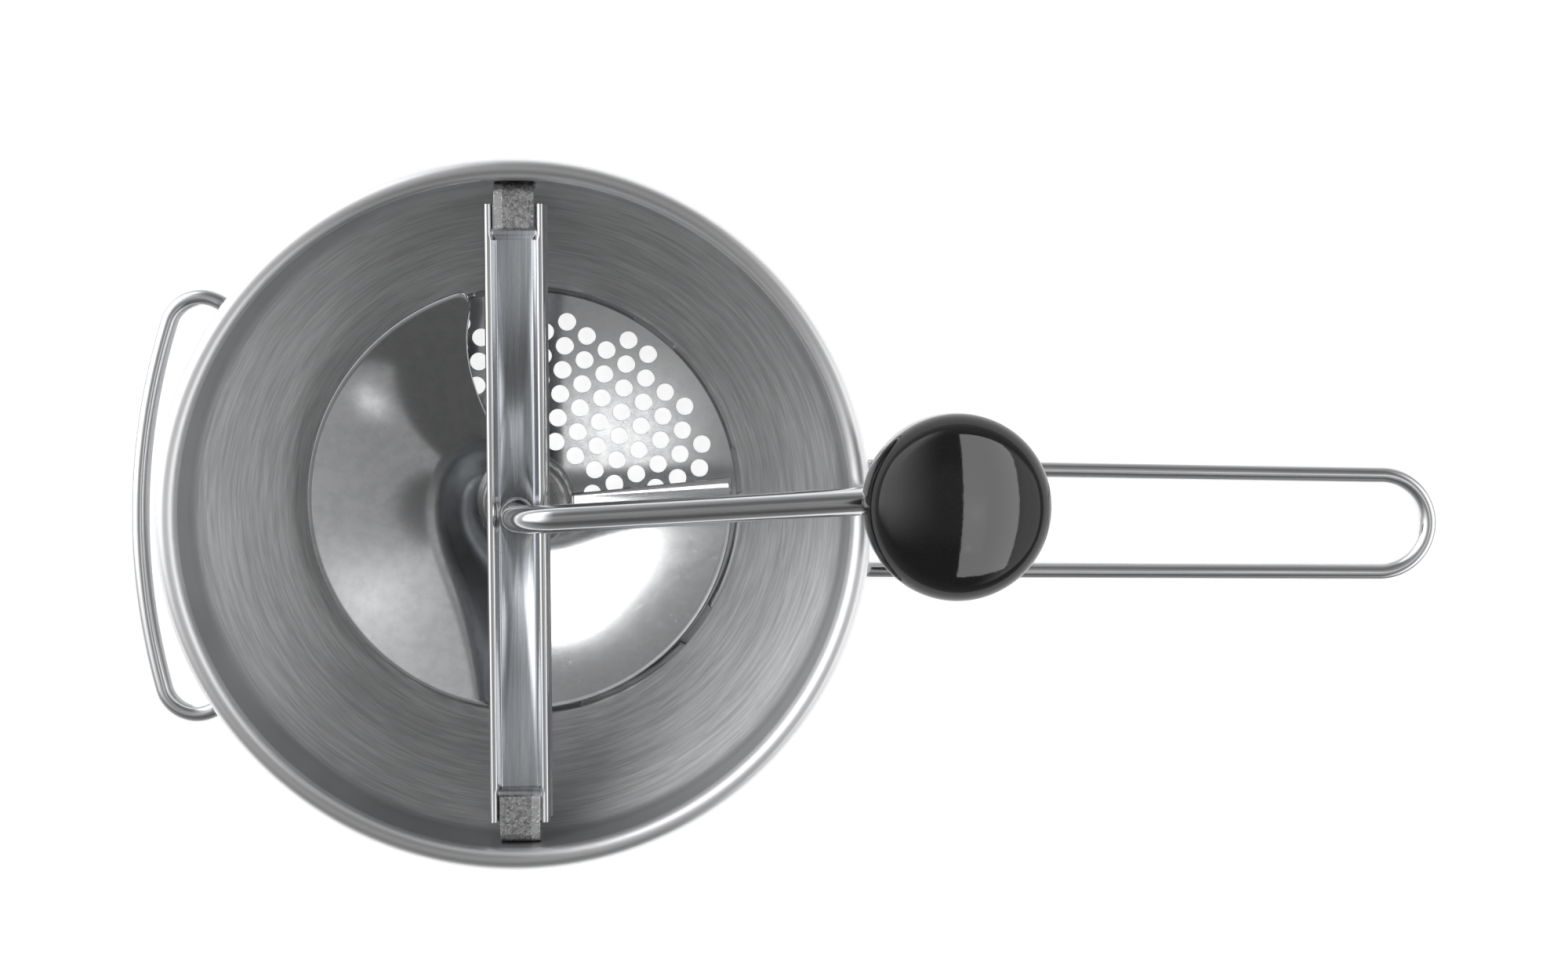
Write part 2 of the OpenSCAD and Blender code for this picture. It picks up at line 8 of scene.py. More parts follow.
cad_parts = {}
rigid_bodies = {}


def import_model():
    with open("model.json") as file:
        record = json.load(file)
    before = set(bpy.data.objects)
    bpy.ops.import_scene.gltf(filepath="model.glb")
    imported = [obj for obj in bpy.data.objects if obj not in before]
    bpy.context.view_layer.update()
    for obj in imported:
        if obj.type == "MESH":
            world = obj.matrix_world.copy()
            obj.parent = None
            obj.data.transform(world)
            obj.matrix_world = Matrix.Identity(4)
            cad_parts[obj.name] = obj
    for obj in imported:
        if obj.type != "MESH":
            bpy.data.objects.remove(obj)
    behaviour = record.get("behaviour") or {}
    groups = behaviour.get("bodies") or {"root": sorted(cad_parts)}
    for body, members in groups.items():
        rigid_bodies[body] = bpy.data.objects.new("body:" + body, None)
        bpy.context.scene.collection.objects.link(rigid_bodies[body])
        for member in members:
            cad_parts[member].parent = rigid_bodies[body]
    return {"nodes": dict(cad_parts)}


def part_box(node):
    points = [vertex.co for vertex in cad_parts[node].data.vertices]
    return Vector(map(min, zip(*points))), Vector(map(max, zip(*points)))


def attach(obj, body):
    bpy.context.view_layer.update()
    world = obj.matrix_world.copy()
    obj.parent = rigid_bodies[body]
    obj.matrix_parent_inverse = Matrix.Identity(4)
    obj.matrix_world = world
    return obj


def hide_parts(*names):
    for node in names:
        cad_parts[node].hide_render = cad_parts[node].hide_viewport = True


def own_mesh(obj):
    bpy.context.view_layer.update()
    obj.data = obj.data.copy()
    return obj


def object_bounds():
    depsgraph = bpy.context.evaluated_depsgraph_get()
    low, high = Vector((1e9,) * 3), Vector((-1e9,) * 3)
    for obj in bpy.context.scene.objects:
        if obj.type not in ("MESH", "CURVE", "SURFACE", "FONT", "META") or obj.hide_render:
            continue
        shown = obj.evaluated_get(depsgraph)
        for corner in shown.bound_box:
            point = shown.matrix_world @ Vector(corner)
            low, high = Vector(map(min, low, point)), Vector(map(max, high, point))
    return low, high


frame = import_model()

# Shapes are worked out in millimetres and turned into metres when a mesh is made
mm = 0.001
axisGap = 0.001  # keeps a turned outline off its axis
cadBounds = [list(corner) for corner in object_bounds()]


def boxOf(node):  # a CAD node's lowest and highest corner, in millimetres
    low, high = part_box(node)
    return low / mm, high / mm


# Points, outlines and meshes, all in millimetres

def polar(radius, degrees):
    return Vector((radius * math.cos(math.radians(degrees)), radius * math.sin(math.radians(degrees))))


def arcPoints(centre, radius, start, end, steps):
    return [Vector(centre) + polar(radius, start + (end - start) * i / steps) for i in range(steps + 1)]


def bentCorner(before, corner, after, radius, steps):  # the points of one rounded corner
    back = (before - corner).normalized()
    ahead = (after - corner).normalized()
    half = back.angle(ahead) / 2
    centre = corner + (back + ahead).normalized() * radius / math.sin(half)
    first = corner + back * radius / math.tan(half) - centre
    last = corner + ahead * radius / math.tan(half) - centre
    return [centre + first.slerp(last, i / steps).normalized() * radius for i in range(steps + 1)]


def bentLine(corners, radii, steps=6):  # an open line whose inner corners are rounded
    corners = [Vector(corner) for corner in corners]
    line = [corners[0]]
    for before, corner, after, radius in zip(corners, corners[1:], corners[2:], radii):
        line += bentCorner(before, corner, after, radius, steps)
    return line + [corners[-1]]


def bentLoop(corners, steps=3):  # a closed outline from (x, y, corner radius)
    places = [Vector(corner[:2]) for corner in corners]
    loop = []
    for i, corner in enumerate(corners):
        loop += bentCorner(places[i - 1], places[i], places[(i + 1) % len(places)], corner[2], steps)
    return loop


def filled(line, longest):  # the same line with no step longer than that
    out = [line[0]]
    for before, after in zip(line, line[1:]):
        parts = max(1, math.ceil((after - before).length / longest))
        out += [before.lerp(after, i / parts) for i in range(1, parts + 1)]
    return out


def lengths(line):  # distance along a line at each of its points
    run = [0.0]
    for before, after in zip(line, line[1:]):
        run.append(run[-1] + (after - before).length)
    return run


def sheetOutline(line, thickness, capSteps=4):  # a bent sheet's closed outline, with round edges
    half = thickness / 2
    normals = []
    for i in range(len(line)):
        along = (line[min(i + 1, len(line) - 1)] - line[max(i - 1, 0)]).normalized()
        normals.append(Vector((-along.y, along.x)))

    def cap(point, normal):
        side = math.degrees(math.atan2(normal.y, normal.x))
        return arcPoints(point, half, side, side - 180, capSteps)[1:-1]

    left = [point + normal * half for point, normal in zip(line, normals)]
    right = [point - normal * half for point, normal in zip(line, normals)]
    return left + cap(line[-1], normals[-1]) + right[::-1] + cap(line[0], -normals[0])


def meshPiece(name, points, faces, grain=None, sharpAngle=40):
    mesh = bpy.data.meshes.new(name)
    mesh.from_pydata([Vector(point) * mm for point in points], [], faces)
    if grain:  # where a point lies along and across the brushing
        attribute = mesh.attributes.new("grain", "FLOAT_VECTOR", "POINT")
        attribute.data.foreach_set("vector", [value for vector in grain for value in vector])
    work = bmesh.new()
    work.from_mesh(mesh)
    bmesh.ops.remove_doubles(work, verts=work.verts, dist=1e-7)
    bmesh.ops.recalc_face_normals(work, faces=work.faces)
    work.to_mesh(mesh)
    work.free()
    mesh.shade_smooth()
    mesh.set_sharp_from_angle(angle=math.radians(sharpAngle))
    piece = bpy.data.objects.new(name, mesh)
    bpy.context.scene.collection.objects.link(piece)
    return piece


def settle(piece):  # turns a piece's modifiers into its mesh
    graph = bpy.context.evaluated_depsgraph_get()
    piece.data = bpy.data.meshes.new_from_object(piece.evaluated_get(graph))
    piece.modifiers.clear()
    return piece


def bevelled(piece, width, segments=3, angle=40):
    bevel = piece.modifiers.new("bevel", "BEVEL")
    bevel.width = width * mm
    bevel.segments = segments
    bevel.limit_method = "ANGLE"
    bevel.angle_limit = math.radians(angle)
    bevel.harden_normals = True
    return settle(piece)


def gridFaces(rows, columns, closeRows=False, closeColumns=False, first=0):  # quads between rows of points
    faces = []
    for i in range(rows if closeRows else rows - 1):
        for j in range(columns if closeColumns else columns - 1):
            a = first + i * columns
            b = first + (i + 1) % rows * columns
            k = (j + 1) % columns
            faces.append((a + j, a + k, b + k, b + j))
    return faces


class Parts:  # the points, faces and grain of a piece that is made from several shapes
    def __init__(self):
        self.points, self.faces, self.grain = [], [], []

    def rows(self, rows, grain, closeRows=False, closeColumns=True, capped=False):
        first, columns = len(self.points), len(rows[0])
        self.points += [point for row in rows for point in row]
        self.grain += [vector for row in grain for vector in row]
        self.faces += gridFaces(len(rows), columns, closeRows, closeColumns, first)
        if capped:
            last = len(self.points) - columns
            self.faces += [tuple(range(first, first + columns)), tuple(range(last, last + columns))]

    def turn(self, outline, angles, outlineAt=None):  # an outline of (radius, height) round the Z axis
        run = lengths(outline)
        sides = [polar(1, angle) for angle in angles]
        lines = [outlineAt(angle) if outlineAt else outline for angle in angles]
        self.rows([[(side.x * p.x, side.y * p.x, p.y) for p in line] for side, line in zip(sides, lines)],
                  [[(side.x, side.y, distance) for distance in run] for side in sides], closeRows=True)

    def wire(self, path, radius, sides=20, rounding=0.6):  # a round bar along a path, with softened ends
        path = [Vector(point) for point in path]
        run = lengths(path)
        last = len(path) - 1
        tangents = [(path[min(i + 1, last)] - path[max(i - 1, 0)]).normalized() for i in range(len(path))]
        arcs = [polar(rounding, angle) for angle in (0, 30, 60, 90)]
        ends = [(radius - rounding + arc.y, rounding - arc.x) for arc in arcs]
        stations = [(path[0] + tangents[0] * deep, tangents[0], run[0], thick) for thick, deep in ends]
        stations += [(path[i], tangents[i], run[i], radius) for i in range(1, len(path) - 1)]
        stations += [(path[-1] - tangents[-1] * deep, tangents[-1], run[-1], thick)
                     for thick, deep in ends[::-1]]
        side = tangents[0].orthogonal().normalized()
        rows, grain = [], []
        for point, tangent, distance, thick in stations:
            side = (side - tangent * side.dot(tangent)).normalized()  # carried along without twist
            up = tangent.cross(side)
            spokes = [polar(1, 360 * k / sides) for k in range(sides)]
            rows.append([point + (side * s.x + up * s.y) * thick for s in spokes])
            grain.append([(s.x * 10, s.y * 10, distance) for s in spokes])
        self.rows(rows, grain, capped=True)

    def moved(self, matrix, first=0):
        self.points[first:] = [matrix @ Vector(point) for point in self.points[first:]]

    def piece(self, name, sharpAngle=40):
        return meshPiece(name, self.points, self.faces, self.grain, sharpAngle)


def turned(name, outline, steps=96, centre=(0, 0), sharpAngle=40):
    parts = Parts()
    parts.turn([Vector(point) for point in outline], [360 * i / steps for i in range(steps)])
    parts.moved(Matrix.Translation((centre[0], centre[1], 0)))
    return parts.piece(name, sharpAngle)


# Finishes

class Signal:  # one socket of a material's nodes, with the arithmetic that the finishes use
    def __init__(self, finish, socket):
        self.finish, self.socket = finish, socket

    def maths(self, operation, first, second=0.0):
        return self.finish.node("ShaderNodeMath", {"operation": operation}, {0: first, 1: second})

    def __add__(self, other):
        return self.maths("ADD", self, other)

    def __radd__(self, other):
        return self.maths("ADD", other, self)

    def __sub__(self, other):
        return self.maths("SUBTRACT", self, other)

    def __rsub__(self, other):
        return self.maths("SUBTRACT", other, self)

    def __mul__(self, other):
        return self.maths("MULTIPLY", self, other)

    def __rmul__(self, other):
        return self.maths("MULTIPLY", other, self)

    def __truediv__(self, other):
        return self.maths("DIVIDE", self, other)

    def __abs__(self):
        return self.maths("ABSOLUTE", self)

    def length2(self, other):  # the hypotenuse of two signals
        return self.maths("SQRT", self * self + other * other)


class Finish:  # a node tree, of a material or of the world
    def __init__(self, owner):
        owner.use_nodes = True
        self.owner, self.tree = owner, owner.node_tree
        self.tree.nodes.clear()

    def node(self, kind, settings=None, sockets=None, output=0):
        made = self.tree.nodes.new(kind)
        for name, value in (settings or {}).items():
            setattr(made, name, value)
        for name, value in (sockets or {}).items():
            if isinstance(value, Signal):
                self.tree.links.new(value.socket, made.inputs[name])
            else:
                made.inputs[name].default_value = value
        return Signal(self, made.outputs[output]) if made.outputs else made

    def split(self, vector):
        made = self.node("ShaderNodeSeparateXYZ", {}, {0: vector}).socket.node
        return [Signal(self, made.outputs[i]) for i in range(3)]

    def place(self):  # x, y and z in millimetres, in the frame of the whole object
        return [axis * 1000 for axis in self.split(self.node("ShaderNodeTexCoord", output=3))]

    def grain(self):
        return self.split(self.node("ShaderNodeAttribute", {"attribute_name": "grain"}, output=1))

    def noise(self, x, y, z, detail=2.0, roughness=0.5, distortion=0.0):
        vector = self.node("ShaderNodeCombineXYZ", {}, {0: x, 1: y, 2: z})
        return self.node("ShaderNodeTexNoise", {}, {"Vector": vector, "Scale": 1.0, "Detail": detail,
                                                    "Roughness": roughness, "Distortion": distortion})

    def ramp(self, value, low, high, start=0.0, end=1.0, smooth=True):  # value from low..high to start..end
        settings = {"interpolation_type": "SMOOTHSTEP" if smooth else "LINEAR"}
        return self.node("ShaderNodeMapRange", settings, {0: value, 1: low, 2: high, 3: start, 4: end})

    def blend(self, share, first, second):  # one colour into another
        return self.node("ShaderNodeMix", {"data_type": "RGBA"}, {0: share, 6: first, 7: second}, output=2)

    def relief(self, height, depth):  # depth in millimetres
        return self.node("ShaderNodeBump", {}, {"Height": height, "Distance": depth * mm})

    def surface(self, **sockets):
        shader = self.node("ShaderNodeBsdfPrincipled", {}, {name.replace("_", " "): value
                                                            for name, value in sockets.items()})
        self.node("ShaderNodeOutputMaterial", {}, {"Surface": shader})
        return self.owner


def newFinish(name):
    return Finish(bpy.data.materials.new(name))


def grey(value, warmth=0.0):
    return (value * (1 + warmth), value, value * (1 - warmth), 1.0)


# the smooth band's tone is painted shade and the rim's tone a painted highlight, both set apart from the
# cone's tone
brushedBowl = dict(tone=0.66, smoothBandShadeTone=0.50, rimHighlightTone=0.86, roughness=0.50, smoothRoughness=0.28,
                   stretch=0.85, lineDepth=0.022, coneLow=9.0, coneHigh=57.0)


def bowlFinish():  # spun steel: a smooth band under the rim, and a cone brushed round; the band's darker tone is painted shade and the rim's lighter tone is a painted highlight
    s = brushedBowl
    finish = newFinish("spunSteel")
    x, y, z = finish.place()
    around, across, run = finish.grain()
    fine = finish.noise(around * 8, across * 8, run * 4.6, 3.0, 0.65)
    coarse = finish.noise(around * 3, across * 3, run * 0.7, 3.0, 0.6)
    hairs = finish.noise(around * 26, across * 26, run * 5.5, 2.0, 0.6)
    marks = finish.ramp(finish.noise(around * 14 + 7, across * 14, run * 1.7, 1.0), 0.66, 0.74)
    cloud = finish.noise(x * 0.03, y * 0.03, z * 0.03, 3.0)
    cone = finish.ramp(z, s["coneLow"], s["coneLow"] + 2) * finish.ramp(z, s["coneHigh"], s["coneHigh"] - 7)
    lines = fine * 0.5 + coarse * 0.25 + hairs * 0.25
    height = lines * (cone * 0.75 + 0.25) - marks * cone * 0.3
    tone = finish.blend(finish.ramp(fine * 0.6 + coarse * 0.4, 0.36, 0.64), grey(s["tone"] * 0.76, -0.008),
                        grey(s["tone"] * 1.16, -0.004))
    # painted shade: the smooth band under the rim gets a darker tone than the brushed cone
    tone = finish.blend(cone, grey(s["smoothBandShadeTone"], -0.01), tone)
    tone = finish.blend(finish.ramp(cloud, 0.55, 0.75, 0.0, 0.25), tone, grey(0.42, -0.01))
    # painted highlight: the rim's curl gets a lighter tone
    tone = finish.blend(finish.ramp(z, rimHeight - 2.5, rimHeight), tone, grey(s["rimHighlightTone"], -0.004))
    brushing = finish.ramp(fine, 0.3, 0.7, -0.07, 0.07) + (s["roughness"] - s["smoothRoughness"] - 0.04)
    rough = brushing * cone + cloud * 0.06 + s["smoothRoughness"]
    return finish.surface(Base_Color=tone, Metallic=1.0, Roughness=rough, Anisotropic=s["stretch"],
                          Anisotropic_Rotation=0.25, Normal=finish.relief(height, s["lineDepth"]))


polishedSheet = dict(tone=0.66, roughness=0.075, waveDepth=0.08, waveScale=0.022)


def sheetFinish(name, tone, roughness, waveDepth, waveScale):  # rolled and polished sheet, not quite flat
    finish = newFinish(name)
    x, y, z = finish.place()
    wave = finish.noise(x * waveScale, y * waveScale, z * waveScale, 1.0)
    haze = finish.noise(x * 0.25, y * 0.25, z * 0.25, 4.0, 0.6)
    hairs = finish.noise(x * 0.35 + y * 0.1, y * 5.0, z * 2.0, 2.0, 0.7)
    scuffs = finish.ramp(finish.noise(x * 1.3, y * 1.1, z, 2.0, 0.7, 1.5), 0.62, 0.72)
    base = finish.blend(finish.ramp(haze, 0.35, 0.7), grey(tone, -0.006), grey(tone * 0.9, -0.012))
    rough = haze * 0.05 + hairs * 0.03 + scuffs * 0.06 + (roughness - 0.04)
    normal = finish.relief(wave + hairs * 0.002 - scuffs * 0.002, waveDepth)
    return finish.surface(Base_Color=base, Metallic=1.0, Roughness=rough, Normal=normal)


drawnWire = dict(tone=0.84, roughness=0.16, lineDepth=0.006)


def wireFinish(name, tone, roughness, lineDepth, weldRadius=0.0):  # drawn bar, with lines along its length
    finish = newFinish(name)
    x, y, z = finish.place()
    side, top, run = finish.grain()
    lines = finish.noise(side * 0.55, top * 0.55, run * 0.02, 3.0, 0.7)
    haze = finish.noise(side * 0.12, top * 0.12, run * 0.09, 3.0)
    nicks = finish.ramp(finish.noise(side * 0.6, top * 0.6, run * 0.9, 1.0), 0.7, 0.76)
    base = finish.blend(finish.ramp(lines, 0.35, 0.65), grey(tone, -0.004), grey(tone * 0.86, -0.01))
    rough = lines * 0.08 + haze * 0.08 + nicks * 0.1 + (roughness - 0.08)
    if weldRadius:  # straw and blue heat tint where the wire is welded to the wall
        heat = finish.ramp(x.length2(y), weldRadius + 9.0, weldRadius + 1.5) * finish.ramp(z, 66.0, 60.0)
        straw, blue = (0.50, 0.42, 0.30, 1), (0.26, 0.24, 0.30, 1)
        tint = finish.blend(finish.ramp(heat * (haze + 0.6), 0.45, 0.95), straw, blue)
        base = finish.blend(finish.ramp(heat, 0.05, 0.5, 0.0, 0.7), base, tint)
        rough = rough + heat * 0.14
    normal = finish.relief(lines - nicks * 0.5, lineDepth)
    return finish.surface(Base_Color=base, Metallic=1.0, Roughness=rough, Normal=normal)


crossbarSheet = dict(webTone=0.62, railTone=0.74, roughness=0.20, lineDepth=0.02)


def crossbarFinish():  # pressed sheet: the sunk web is brushed along its length, the rails are polished
    s = crossbarSheet
    finish = newFinish("crossbarSteel")
    x, y, z = finish.place()
    top = boxOf("crossbar")[1]
    web = finish.ramp(z, top.z - 1.6, top.z - 2.2) * finish.ramp(abs(x), 7.6, 6.8)
    lines = finish.noise(x * 2.6, y * 0.05, z * 0.6, 4.0, 0.7)
    broad = finish.noise(x * 0.8, y * 0.022, z * 0.3, 2.0)
    haze = finish.noise(x * 0.15, y * 0.04, z * 0.15, 3.0)
    base = finish.blend(finish.ramp(lines * 0.6 + broad * 0.4, 0.35, 0.65),
                        (s["webTone"] * 0.84, s["webTone"] * 0.88, s["webTone"] * 0.93, 1),
                        (s["webTone"] * 1.08, s["webTone"] * 1.12, s["webTone"] * 1.16, 1))
    base = finish.blend(web, grey(s["railTone"], -0.004), base)
    rough = web * 0.12 + lines * 0.08 + haze * 0.06 + (s["roughness"] - 0.13)
    height = lines * (web * 0.8 + 0.06) + broad * web * 0.5
    return finish.surface(Base_Color=base, Metallic=1.0, Roughness=rough,
                          Normal=finish.relief(height, s["lineDepth"]))


blastedPlate = dict(tone=0.42, roughness=0.42, pitDepth=0.10)


def lugFinish():  # sheared plate, tumbled: pitted faces, and left and right edges painted lighter as a highlight mixed with wear
    s = blastedPlate
    finish = newFinish("tumbledSteel")
    x, y, z = finish.place()
    low, high = boxOf("lug_rear")
    pits = finish.noise(x * 1.1, y * 1.1, z * 1.1, 4.0, 0.62, 0.6)
    grit = finish.noise(x * 4.0, y * 4.0, z * 4.0, 2.0)
    dents = finish.ramp(finish.noise(x * 0.9 + 3, y * 0.9, z * 0.9, 1.0), 0.56, 0.66)
    # painted highlight: the plate's left and right edges are made lighter, mixed with pitted wear
    sideEdgeHighlight = finish.ramp(abs(x), (high.x - low.x) / 2 - 1.5, (high.x - low.x) / 2 - 0.7)
    wearAndHighlight = finish.ramp(sideEdgeHighlight + pits * 0.8 - 0.3, 0.35, 0.8)
    base = finish.blend(finish.ramp(pits, 0.35, 0.68), grey(s["tone"] * 0.62), grey(s["tone"] * 1.4))
    base = finish.blend(wearAndHighlight, base, grey(0.72))
    rough = pits * 0.25 + grit * 0.08 + (s["roughness"] - 0.16) - wearAndHighlight * 0.12
    return finish.surface(Base_Color=base, Metallic=1.0, Roughness=rough,
                          Normal=finish.relief(pits + grit * 0.15 - dents * 0.5, s["pitDepth"]))


def turnedFinish(name, tone, roughness, centre=(0.0, 0.0)):  # lathe-turned steel with fine tool rings
    finish = newFinish(name)
    x, y, z = finish.place()
    radius = (x - centre[0]).length2(y - centre[1])
    rings = finish.noise(radius * 5.0, z * 5.0, 0.0, 2.0, 0.7)
    haze = finish.noise(x * 0.4, y * 0.4, z * 0.4, 3.0)
    base = finish.blend(finish.ramp(haze, 0.35, 0.7), grey(tone), grey(tone * 0.84, 0.01))
    rough = rings * 0.10 + haze * 0.08 + (roughness - 0.09)
    normal = finish.relief(rings, 0.012)
    return finish.surface(Base_Color=base, Metallic=1.0, Roughness=rough, Normal=normal)


glossyKnob = dict(tone=0.0045, roughness=0.05, orangePeel=0.006, partingWidth=0.35)


def knobFinish(centre):  # moulded phenolic: deep gloss, a faint parting line and fine wipe marks
    s = glossyKnob
    finish = newFinish("glossPhenolic")
    x, y, z = finish.place()
    x, y = x - centre[0], y - centre[1]
    peel = finish.noise(x * 0.5, y * 0.5, z * 0.5, 2.0)
    wipes = finish.noise(x * 0.7 + y * 2.2, y * 0.5 - x * 0.9, z * 0.8, 3.0, 0.7)
    specks = finish.ramp(finish.noise(x * 3.1, y * 3.1, z * 3.1, 1.0), 0.70, 0.76)
    parting = finish.ramp(abs(y), s["partingWidth"], 0.0) * finish.ramp(x.length2(y), 21.0, 23.0)
    base = finish.blend(finish.ramp(wipes, 0.4, 0.75, 0.0, 0.5), grey(s["tone"]), grey(s["tone"] * 2.1))
    base = finish.blend(specks * 0.1, base, grey(0.05))
    rough = finish.ramp(wipes, 0.4, 0.8, 0.0, 0.05) + specks * 0.08 + parting * 0.2
    rough = rough + (s["roughness"] - 0.01)
    return finish.surface(Base_Color=base, Metallic=0.0, Roughness=rough, Specular_IOR_Level=0.42,
                          Normal=finish.relief(peel + parting * 0.6, s["orangePeel"]))


def coreFinish():  # the knob's plain moulded core
    finish = newFinish("mouldedCore")
    x, y, z = finish.place()
    texture = finish.noise(x * 2.5, y * 2.5, z * 2.5, 4.0, 0.65)
    flow = finish.noise(x * 0.15, y * 0.15, z * 0.5, 3.0, 0.5, 1.0)
    base = finish.blend(finish.ramp(flow, 0.35, 0.7), grey(0.035), grey(0.055, 0.02))
    return finish.surface(Base_Color=base, Metallic=0.0, Roughness=texture * 0.25 + 0.42,
                          Normal=finish.relief(texture, 0.03))


def oiledFinish():  # spring-hard steel of pin and clip, with a thin oil haze
    finish = newFinish("hardenedSteel")
    x, y, z = finish.place()
    oil = finish.noise(x * 0.6, y * 0.6, z * 0.6, 3.0, 0.6, 0.8)
    grind = finish.noise(x * 0.5, y * 6.0, z * 6.0, 2.0, 0.7)
    base = finish.blend(finish.ramp(oil, 0.35, 0.7), grey(0.30, -0.03), grey(0.44, 0.03))
    return finish.surface(Base_Color=base, Metallic=1.0, Roughness=oil * 0.15 + grind * 0.1 + 0.16,
                          Normal=finish.relief(grind, 0.01))


def fitted(piece, finish, body, slot, *nodes):  # gives a piece its finish and its body, and hides the CAD nodes it stands in for
    piece.data.materials.clear()
    piece.data.materials.append(finish)
    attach(piece, body)
    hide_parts(*nodes)
    return piece


# Camera

viewpoint = dict(place=(42.829, 58.109, 788.684), tilt=(-3.747, -2.716, 0.791), lens=56.742, sensor=36.0)
camera = bpy.data.objects.new("camera", bpy.data.cameras.new("camera"))
bpy.context.scene.collection.objects.link(camera)
camera.location = Vector(viewpoint["place"]) * mm
camera.rotation_euler = Euler([math.radians(angle) for angle in viewpoint["tilt"]], "XYZ")
camera.data.lens = viewpoint["lens"]
camera.data.sensor_width = viewpoint["sensor"]
camera.data.clip_start, camera.data.clip_end = 0.05, 80.0
bpy.context.scene.camera = camera
print("camera placed")


# Bowl

bowlShape = dict(wall=0.9, rimRoll=6.2, band=16.0, shoulder=20.0, throat=6.0, neck=4.0, step=1.3,
                 stepHeight=3.0, ledge=3.5, foot=5.0, bend=0.62, curlEnd=-122.0, discRoom=0.4,
                 pockets=8, pocketAngle=12.0, pocketDepth=2.1, pocketTurn=8.6, pocketShare=0.7,
                 pocketSide=0.8, pocketFade=0.9, pocketFill=0.97, seatBend=0.55)


rimHeight = boxOf("bowl")[1].z - bowlShape["rimRoll"] / 2


def bowlLine():  # the middle of the sheet, from the foot up to the end of the rim's curl
    s = bowlShape
    half = s["wall"] / 2
    discLow, discHigh = boxOf("sieve_disc")
    mouth = boxOf("bowl")[1].y - s["rimRoll"]
    seat = (discHigh.y - discLow.y) / 2 + s["discRoom"]
    neck = seat + s["step"]
    stepTop = s["foot"] + s["stepHeight"]
    shoulderAt = Vector((mouth - s["shoulder"], rimHeight - s["band"]))
    gap = shoulderAt - Vector((neck + s["throat"], stepTop + s["neck"]))
    slope = math.atan2(gap.x, gap.y) + math.asin((s["shoulder"] + s["throat"]) / gap.length)
    onCone = shoulderAt + polar(s["shoulder"] + half, -math.degrees(slope))
    rise = Vector((math.tan(slope), 1.0))
    corners = [(seat - s["ledge"] + half, half), (seat - s["ledge"] + half, s["foot"] - half),
               (seat + half, s["foot"] - half), (seat + half, stepTop - half),
               (neck + half, stepTop - half)]
    corners += [onCone + rise * (radius + half - onCone.x) / rise.x for radius in (neck, mouth)]
    corners.append((mouth + half, rimHeight))
    line = bentLine(corners, [s["bend"]] * 4 + [s["throat"] - half, s["shoulder"] + half], 7)
    curl = arcPoints((mouth + s["rimRoll"] / 2, rimHeight), s["rimRoll"] / 2 - half, 180, s["curlEnd"], 30)
    return filled(line, 3.0) + curl[1:], seat + half, stepTop + s["pocketShare"] * s["neck"] - half


def bowlShell():
    s = bowlShape
    line, seatLine, pocketTop = bowlLine()
    target = seatLine + s["pocketDepth"]

    def pressed(angle):  # the line where a pocket is stamped into the neck
        pitch = 360 / s["pockets"]
        off = abs((angle - s["pocketTurn"] + pitch / 2) % pitch - pitch / 2)
        share = min(max((s["pocketAngle"] / 2 + s["pocketSide"] / 2 - off) / s["pocketSide"], 0), 1)
        share = s["pocketFill"] * share * share * (3 - 2 * share)
        out = []
        for point in line:
            fade = min(max((pocketTop - point.y) / s["pocketFade"], 0), 1)
            inside = point.x > seatLine - s["seatBend"] and point.y < pocketTop
            push = max(target - max(point.x, seatLine), 0) * fade * share if inside else 0
            out.append(Vector((point.x + push, point.y)))
        return sheetOutline(out, s["wall"])

    pitch = 360 / s["pockets"]
    edge = s["pocketAngle"] / 2
    near = [-edge - 0.4, -edge - 0.15, -edge + 0.15, -edge + 0.4, -edge + 1.2, -2.0, 0.0]
    near += [-offset for offset in near[-2::-1]]
    between = [edge + 1.3 + (pitch - 2 * edge - 2.6) * i / 18 for i in range(19)]
    angles = [s["pocketTurn"] + i * pitch + offset
              for i in range(s["pockets"]) for offset in near + between]
    parts = Parts()
    parts.turn(sheetOutline(line, s["wall"]), angles, pressed)
    return fitted(parts.piece("bowlShell", 60), bowlFinish(), "bowl", "bowl_steel", "bowl")


bowlShell()
print("bowl made")


# Sieve disc

discShape = dict(hole=5.5, pitch=7.6, margin=5.6, plain=19.0, turn=25.0, rodHole=4.4, edge=0.12)


